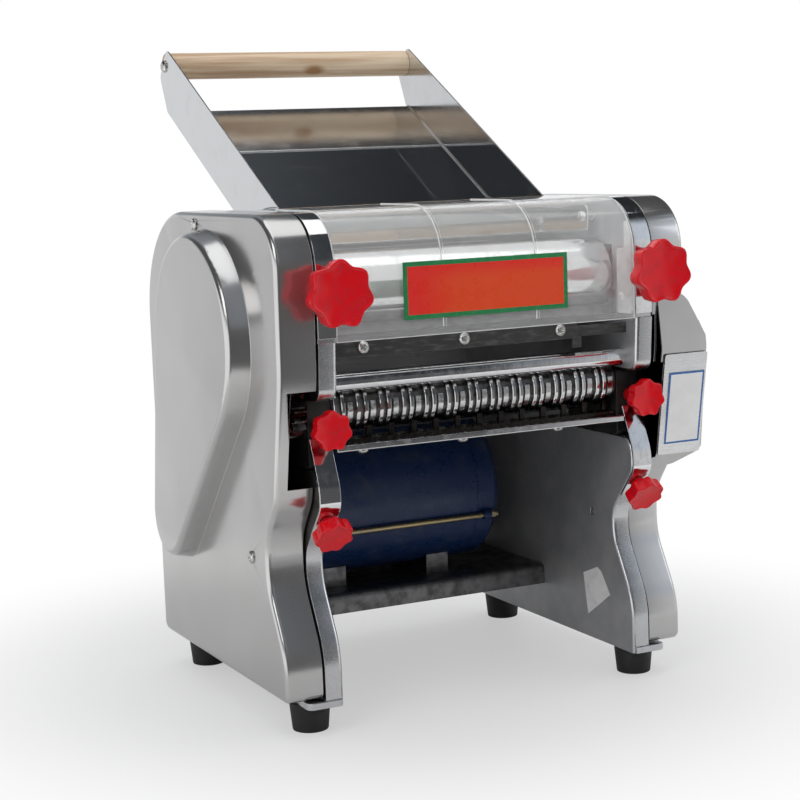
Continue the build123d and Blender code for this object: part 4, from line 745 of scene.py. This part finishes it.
cover_sheet, shader = new_finish("satin_cover_steel", (0.57, 0.563, 0.557), 0.9, 0.2)
satin_grain = noise(shader, 2600, 2)
sheen_clouds = noise(shader, 16, 3, 0.5, 7.0)
glossed(shader, mapped(sheen_clouds, 0.3, 0.7, 0.17, 0.22))
tinted(shader, mapped(sheen_clouds, 0.3, 0.75), (0.58, 0.573, 0.567), (0.55, 0.543, 0.537))
raised(shader, satin_grain, 0.00002, 0.08)
pan_inside, shader = new_finish("unlit_pan_inside", (0.10, 0.10, 0.10), 1, 0.5)
tinted(shader, mapped(noise(shader, 60, 4), 0.35, 0.7), (0.10, 0.10, 0.10), (0.05, 0.045, 0.04))
raised(shader, noise(shader, 900, 2), 0.00004, 0.2)

cover_middle, drawn_edge = Vector((0, -0.010, 0.215)), 35
facing_in, flat_face, wall_reach = 0.5, 0.9, 0.004


def looks_in(face, side):
    """Whether a face of a cover is on its inside: towards the frame, or towards the middle."""
    along_wall = Vector((0, face.normal.y, face.normal.z))
    inward = (face.center - cover_middle).dot(along_wall) < -wall_reach
    return face.normal.x * side < -facing_in or (abs(face.normal.x) < flat_face and inward)


for side, word in ((-1, "left"), (1, "right")):
    pan = finished_copy(word + "_cover", cover_sheet, 0.0004, drawn_edge, joined=side > 0)
    faces_take(pan, pan_inside, lambda face: looks_in(face, side))
dress(zinc, "cover_standoffs")

cover_x, low_screw, top_screw = 0.1655, (-0.100996, 0.12394), (-0.014996, 0.361)
low_places, top_places = ([(side * cover_x, *at, (side, 0, 0)) for side in (-1, 1)]
                          for at in (low_screw, top_screw))
cover_heads = heads_at("cover_screw_heads", low_places, 0.0046, 0.0026)
heads_at("cover_top_heads", top_places, 0.0046, 0.0026, "slot")
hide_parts("cover_screws")


# ---- Switch, its panel and the cable gland ----
# A rocker switch in the outer face of the right bulge, a pale plate with a bare blue-framed label
# on its leaning front, and a black screwed gland low at the back, without its cable.

dress(black_nylon, "switch_bezel")
rocker_red, shader = new_finish("rocker_red", (0.55, 0.008, 0.010), 0, 0.25)
glossed(shader, mapped(noise(shader, 300, 4), 0.35, 0.7, 0.18, 0.36))
raised(shader, noise(shader, 1500, 1), 0.00002, 0.3)
finished_copy("switch_rocker", rocker_red, 0.0003)
gland_plastic, shader = new_finish("gland_plastic", (0.015, 0.015, 0.016), 0, 0.4)
raised(shader, noise(shader, 1100, 2), 0.00006, 0.35)
glossed(shader, mapped(noise(shader, 200, 4), 0.35, 0.7, 0.34, 0.52))
finished_copy("cable_gland", gland_plastic, 0.0004, joined=False)

pale_plate, shader = new_finish("pale_satin_plate", (0.80, 0.80, 0.80), 0.75, 0.3)
satin = noise(shader, (16, 1100, 1100), 2)
glossed(shader, mapped(satin, 0.35, 0.65, 0.24, 0.4))
tinted(shader, mapped(noise(shader, 60, 4), 0.4, 0.75), (0.84, 0.845, 0.85), (0.76, 0.76, 0.765))
raised(shader, satin, 0.00003, 0.25)
switch_plate = finished_copy("switch_panel", pale_plate, 0.0002)
# Painted shadow: the plate's thin side faces are coloured dark as a shadow line round its edge.
painted_shadow_edge, shader = new_finish("burnt_cut_edge", (0.06, 0.055, 0.05), 1, 0.5)
tinted(shader, mapped(noise(shader, 700, 3), 0.35, 0.7), (0.07, 0.065, 0.06), (0.03, 0.03, 0.03))
raised(shader, noise(shader, 1800, 2), 0.00003, 0.3)
faces_take(switch_plate, painted_shadow_edge, lambda face: abs(face.normal.y) < 0.6)

label_blue, shader = new_finish("printed_blue", (0.03, 0.14, 0.42), 0, 0.35)
tinted(shader, mapped(noise(shader, 400, 3), 0.4, 0.75), (0.03, 0.13, 0.40), (0.08, 0.22, 0.50))
raised(shader, noise(shader, 1500, 1), 0.00001, 0.3)
label_white, shader = new_finish("glossy_label_film", (0.80, 0.81, 0.82), 0, 0.18)
tinted(shader, mapped(noise(shader, 45, 3), 0.35, 0.75), (0.92, 0.925, 0.93), (0.84, 0.845, 0.85))
raised(shader, noise(shader, 120, 2), 0.00004, 0.2)


def framed_label(name, origin, across, up, width, height, frame_width, thickness, finishes):
    """Thin sheet lying on a flat face: a printed frame round a bare field; out is across x up."""
    across, up = Vector(across).normalized(), Vector(up).normalized()
    out = across.cross(up)
    work = bmesh.new()

    def corners(inset, rise):
        a, b = width / 2 - inset, height / 2 - inset
        return [work.verts.new(Vector(origin) + across * x + up * y + out * rise)
                for x, y in ((-a, -b), (a, -b), (a, b), (-a, b))]

    under, edge, rim = corners(0, 0), corners(0, thickness * 0.7), corners(thickness, thickness)
    line, field = corners(frame_width, thickness), corners(frame_width + 0.0001, thickness)
    work.faces.new(under[::-1])
    for one, other in ((under, edge), (edge, rim), (rim, line), (line, field)):
        joined_rows(work, one, other)
    work.faces.new(field).material_index = 1
    piece = placed(name, made_mesh(name, work, finishes))
    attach(piece, "machine")
    return piece


panel_low = Vector((0.1645, -0.159496, 0.174))
panel_lean = Vector((0, -0.0135, 0.079)).normalized()
panel_out = Vector((1, 0, 0)).cross(panel_lean)
panel_face = panel_low + panel_out * 0.0016 + panel_lean * 0.0365
panel_label = framed_label("panel_label", panel_face, (1, 0, 0), panel_lean, 0.0315, 0.056,
                           0.0014, 0.00022, [label_blue, label_white])


# ---- Guard and its rail ----
# A clear moulded guard, bent over the rollers, with two moulded ribs and a printed plate left bare;
# white brackets hold its ends, and a dark rail with three screws runs under its lower edge.

clear_guard, shader = new_finish("clear_acrylic", (0.985, 0.99, 0.99), 0, 0.04)
shader.inputs["Transmission Weight"].default_value = 0.88
shader.inputs["IOR"].default_value = 1.47
hazed = noise(shader, 35, 5, 0.65, 11.0)
glossed(shader, mapped(hazed, 0.4, 0.75, 0.02, 0.10))
raised(shader, noise(shader, 14, 2), 0.0004, 0.2)
tree = shader.id_data
let_light = tree.nodes.new("ShaderNodeBsdfTransparent")
let_light.inputs["Color"].default_value = (0.94, 0.95, 0.95, 1)
rays = tree.nodes.new("ShaderNodeLightPath").outputs
by_shadow = either(rays["Is Shadow Ray"], shader, let_light)
tree.links.new(by_shadow.outputs[0], tree.nodes["Material Output"].inputs["Surface"])
clear_cover = finished_copy("guard", clear_guard, 0.0004)
# Painted highlight: the rib flanks, the lower edge and the ends are coloured near-white.
painted_highlight_acrylic, shader = new_finish("edge_lit_acrylic", (0.93, 0.94, 0.94), 0, 0.25)
shader.inputs["Transmission Weight"].default_value = 0.12
tinted(shader, mapped(noise(shader, 220, 3), 0.4, 0.75), (0.95, 0.955, 0.955), (0.80, 0.81, 0.81))
raised(shader, noise(shader, 600, 2), 0.00003, 0.3)
guard_low, guard_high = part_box("guard")
rib_x, rib_half, rib_slope, edge_in = 0.038, 0.0014, 0.15, 0.0008


def takes_painted_highlight(face):
    """Whether a face is on a rib's flank, the lower edge or an end of the guard, where a painted highlight
    goes.
    """
    at = face.center
    on_rib = abs(abs(at.x) - rib_x) < rib_half and abs(face.normal.x) > rib_slope
    at_end = at.x < guard_low.x + edge_in or at.x > guard_high.x - edge_in
    return on_rib or at_end or at.z < guard_low.z + edge_in


faces_take(clear_cover, painted_highlight_acrylic, takes_painted_highlight)

bracket_paint, shader = new_finish("pale_bracket_enamel", (0.70, 0.70, 0.70), 0, 0.4)
tinted(shader, mapped(noise(shader, 150, 4), 0.4, 0.75), (0.74, 0.74, 0.74), (0.60, 0.60, 0.60))
raised(shader, noise(shader, 800, 2), 0.00006, 0.3)
finished_copy("guard_brackets", bracket_paint, 0.0004)

rail_enamel, shader = new_finish("dark_rail_enamel", (0.03, 0.03, 0.03), 0, 0.35)
rail_wear = noise(shader, (90, 400, 400), 4, 0.6, 4.0)
tinted(shader, mapped(rail_wear, 0.45, 0.75), (0.035, 0.034, 0.033), (0.10, 0.10, 0.098))
glossed(shader, mapped(rail_wear, 0.3, 0.7, 0.28, 0.5))
raised(shader, noise(shader, 700, 2), 0.00006, 0.3)
finished_copy("guard_rail", rail_enamel, 0.0004)

bar_screw_in, front_screw_z, front_screw_x = 0.0055, 0.275, (-0.097, -0.017, 0.063)
rail_low, bar_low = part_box("guard_rail")[0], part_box("cutter_bar")[0]
rail_places = [(x, rail_low.y, front_screw_z, (0, -1, 0)) for x in front_screw_x]
bar_places = [(x, bar_low.y + bar_screw_in, bar_low.z, (0, 0, -1)) for x in front_screw_x]
front_heads = heads_at("front_screw_heads", rail_places + bar_places, 0.0044, 0.0032)
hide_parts("front_screws")

label_green, shader = new_finish("printed_green", (0.012, 0.22, 0.07), 0, 0.3)
tinted(shader, mapped(noise(shader, 300, 3), 0.4, 0.75), (0.012, 0.21, 0.065), (0.03, 0.28, 0.10))
raised(shader, noise(shader, 900, 1), 0.00001, 0.3)
label_red, shader = new_finish("printed_red", (0.82, 0.05, 0.01), 0, 0.3)
x, _, z = axes_of(shader.id_data)
rightward, lower = mapped(x, -0.065, -0.02, 0.0, 0.7), mapped(z, 0.331, 0.318)
tinted(shader, worked("MULTIPLY", rightward, lower), (0.82, 0.018, 0.012), (0.80, 0.085, 0.006))
glossed(shader, mapped(noise(shader, 90, 4), 0.35, 0.7, 0.24, 0.4))
raised(shader, noise(shader, 500, 2), 0.00002, 0.3)
guard_face = (-0.0035, guard_low.y - 0.0001, 0.3128)
guard_label = framed_label("guard_plate", guard_face, (1, 0, 0), (0, 0, 1), 0.133, 0.0405,
                           0.0032, 0.0004, [label_green, label_red])


# ---- Hopper ----
# Two mirror-polished side plates and a folded tray of the same sheet, joined at the top by a
# turned, unvarnished pine grip and bolted to the frames through short spacers.

mirror_sheet, shader = new_finish("mirror_sheet", (0.78, 0.79, 0.80), 1, 0.06)
fingered = noise(shader, 55, 5, 0.65, 12.0)
handled = mapped(axes_of(shader.id_data)["Z"], 0.4128, 0.4134, 0.0, 0.09)
glossed(shader, worked("ADD", handled, mapped(fingered, 0.42, 0.78, 0.04, 0.11)))
tinted(shader, mapped(fingered, 0.45, 0.8), (0.80, 0.81, 0.82), (0.76, 0.765, 0.77))
raised(shader, noise(shader, 9, 2, 0.4), 0.0003, 0.12)
for node_name in ("left_hopper_plate", "right_hopper_plate", "hopper_tray"):
    finished_copy(node_name, mirror_sheet, 0.00025)

# The tray is soldered along both plates and stiffened by a fine pressed bead across its slope.
bead_radius, bead_x, bead_share = 0.0009, 0.1116, 0.55
lip_end, slope_start, slope_end = (-0.0628, 0.3443), (0.0368, 0.3694), (0.1790, 0.4492)
across_y, across_z = (low + bead_share * (high - low) for low, high in zip(slope_start, slope_end))
bead_routes = [[(x, *lip_end), (x, *slope_start), (x, *slope_end)] for x in (-bead_x, bead_x)]
bead_routes.append([(-bead_x, across_y, across_z), (bead_x, across_y, across_z)])
bead_line = bpy.data.curves.new("bead_line", "CURVE")
bead_line.dimensions = "3D"
bead_line.bevel_depth, bead_line.bevel_resolution, bead_line.use_fill_caps = bead_radius, 3, True
for route in bead_routes:
    run = bead_line.splines.new("POLY")
    run.points.add(len(route) - 1)
    for point, spot in zip(run.points, route):
        point.co = (*spot, 1)
bead_source = placed("bead_source", bead_line)
graph = bpy.context.evaluated_depsgraph_get()
bead_mesh = bpy.data.meshes.new_from_object(bead_source.evaluated_get(graph), depsgraph=graph)
bpy.data.objects.remove(bead_source)
bead_mesh.materials.clear()
bead_mesh.materials.append(mirror_sheet)
beads = placed("tray_beads", bead_mesh)
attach(beads, "machine")

pine, shader = new_finish("turned_pine", (0.62, 0.42, 0.25), 0, 0.5)
streaks = noise(shader, (9, 260, 260), 5, 0.62, 2.0)
bands = noise(shader, (3.5, 60, 60), 3, 0.5, 5.0)
tree = shader.id_data
from_knot = tree.nodes.new("ShaderNodeTexCoord").outputs["Object"]
knot_at, knot_squash = (0.020, 0.1755, 0.4822), (0.45, 1, 1)
for operation, numbers in (("SUBTRACT", knot_at), ("MULTIPLY", knot_squash), ("LENGTH", None)):
    node = tree.nodes.new("ShaderNodeVectorMath")
    node.operation = operation
    tree.links.new(from_knot, node.inputs[0])
    if numbers:
        node.inputs[1].default_value = numbers
    from_knot = node.outputs[0]
from_knot = worked("ADD", node.outputs["Value"], worked("MULTIPLY", streaks, 0.004))
near_knot = mapped(from_knot, 0.0022, 0.0085, 1.0, 0.0)
wood_tone = worked("ADD", worked("MULTIPLY", streaks, 0.55), worked("MULTIPLY", bands, 0.45))
wood_tone = worked("ADD", mapped(wood_tone, 0.36, 0.66, 0.0, 0.75), near_knot)
tinted(shader, wood_tone, (0.86, 0.70, 0.51), (0.40, 0.21, 0.09))
glossed(shader, mapped(streaks, 0.3, 0.7, 0.42, 0.6))
raised(shader, streaks, 0.0002, 0.35)
finished_copy("hopper_rod", pine, 0.0005)

grip_screw_x, grip_screw_y, grip_screw_z = 0.1132, 0.18478, 0.48718
grip_places = [(side * grip_screw_x, grip_screw_y, grip_screw_z, (side, 0, 0)) for side in (-1, 1)]
heads_at("grip_screw_heads", grip_places, 0.0048, 0.0026)
dress(zinc, "hopper_bolts")


# ---- Trim strips ----
# A narrow strip of mirror-polished stainless is wrapped round the rounded front corner of each
# cast arm, hiding the seam between the frame and its cover.

strip_chrome = plated("mirror_trim", (0.84, 0.84, 0.85), 0.05, 0.16, 700, 0.00003)
for word in ("left", "right"):
    finished_copy(word + "_trim_strip", strip_chrome, 0.0003)


# ---- Clips ----
# A bent, polished spring strip on each jaw keeps the cutter cassette in its slot; a stud with a
# red knob clamps it.

clip_chrome = plated("polished_clip", (0.82, 0.82, 0.83), 0.05, 0.18, 600, 0.00003)
for word in ("left", "right"):
    finished_copy(word + "_clip", clip_chrome, 0.0004)


# ---- Star knobs ----
# Six glossy red star knobs, moulded round zinc studs: two big ones set the roller gap, two hold
# the cutter cassette and two clamp the clips.  Their lobes are full and soft-edged.

knob_red, shader = new_finish("moulded_red", (0.72, 0.003, 0.010), 0, 0.2)
shader.inputs["Specular IOR Level"].default_value = 0.38
handled = noise(shader, 130, 5, 0.62, 3.0)
specks = noise(shader, 900, 3, 0.6, 6.0)
tinted(shader, mapped(handled, 0.42, 0.78), (0.76, 0.003, 0.011), (0.60, 0.010, 0.020))
both = worked("ADD", worked("MULTIPLY", handled, 0.5), worked("MULTIPLY", specks, 0.5))
glossed(shader, mapped(both, 0.35, 0.68, 0.13, 0.30))
raised(shader, specks, 0.00006, 0.2)
knob_lobes, lobe_middle, lobe_swell, hollow_radius = 7, 0.926, 0.072, 0.83
# Rings of the grip from its back to the crown of its hollow front: height as a share of the
# thickness, size, and how far the lobes have run out into a circle.
grip_rings = ((0.0, 0.88, 0.0), (0.03, 0.935, 0.0), (0.10, 0.960, 0.0), (0.30, 0.972, 0.0),
              (0.70, 0.990, 0.0), (0.90, 0.998, 0.0), (0.955, 0.994, 0.0), (0.99, 0.978, 0.0),
              (1.0, 0.958, 0.0), (0.995, 0.935, 0.0), (0.965, 0.915, 0.04), (0.950, 0.88, 0.10),
              (0.935, 0.78, 0.25), (0.905, 0.60, 0.6), (0.885, 0.40, 0.9), (0.875, 0.20, 1.0),
              (0.872, 0.08, 1.0))
crown_height, rounding = 0.871, 0.0005


def star_knob(name, node, at, out, radius, thickness, hub_radius, hub, stud_radius, reach):
    """Star knob with its hub and plated stud; at is the back of the grip, on its axis."""
    out = Vector(out).normalized()
    aside = Vector((1, 0, 0))
    up = out.cross(aside)
    if up.z < 0:
        up, aside = -up, -aside
    turns = [2 * math.pi * k / 112 for k in range(112)]
    work = bmesh.new()

    def ring_of(height, radii):
        middle = Vector(at) + out * height
        return [work.verts.new(middle + aside * (r * math.cos(turn)) + up * (r * math.sin(turn)))
                for r, turn in zip(radii, turns)]

    stud_and_hub = ((-reach, stud_radius - rounding), (rounding - reach, stud_radius), (-hub, stud_radius),
                    (-hub, hub_radius - rounding), (rounding - hub, hub_radius), (0.0, hub_radius + 0.0006))
    rows = [ring_of(height, [r] * len(turns)) for height, r in stud_and_hub]
    for share, scale, run_out in grip_rings:
        lobed = [lobe_middle + lobe_swell * math.cos(knob_lobes * (turn - math.pi / 2)) for turn in turns]
        blended = [r * (1 - run_out) + hollow_radius * run_out for r in lobed]
        rows.append(ring_of(share * thickness, [radius * scale * r for r in blended]))
    tip = work.verts.new(Vector(at) + out * (thickness * crown_height))
    base = work.verts.new(Vector(at) - out * reach)
    rows = [[base] * len(turns), *rows, [tip] * len(turns)]
    for i, (one, other) in enumerate(zip(rows, rows[1:])):
        joined_rows(work, one, other, 1 if i < 3 else 0)
    bmesh.ops.recalc_face_normals(work, faces=work.faces[:])
    knob = placed(name, made_mesh(name, work, [knob_red, zinc], 50))
    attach(knob, frame["nodes"][node]["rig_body"])
    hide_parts(node)


knob_x, forward = 0.129, (0, -1, 0)
clip_slope = Vector((0, -0.0285, 0.034)).normalized()
clip_out = Vector((0, -clip_slope.z, clip_slope.y))
clip_stud_z = 0.130 - 0.022 * clip_slope.z / clip_slope.y
for side, word in ((-1, "left"), (1, "right")):
    star_knob(word + "_big_knob", word + "_setting_knob", (side * knob_x, -0.18399, 0.316), forward,
              0.024, 0.013, 0.00912, 0.012, 0.006, 0.0519)
    star_knob(word + "_small_knob", word + "_cutter_knob", (side * knob_x, -0.163296, 0.2205), forward,
              0.0145, 0.010, 0.00551, 0.0168, 0.004, 0.0253)
    clip_knob_at = Vector((side * knob_x, -0.152996, clip_stud_z)) + clip_out * 0.0094
    star_knob(word + "_low_knob", word + "_clip_knob", clip_knob_at, clip_out,
              0.0145, 0.010, 0.00551, 0.0064, 0.004, 0.0174)
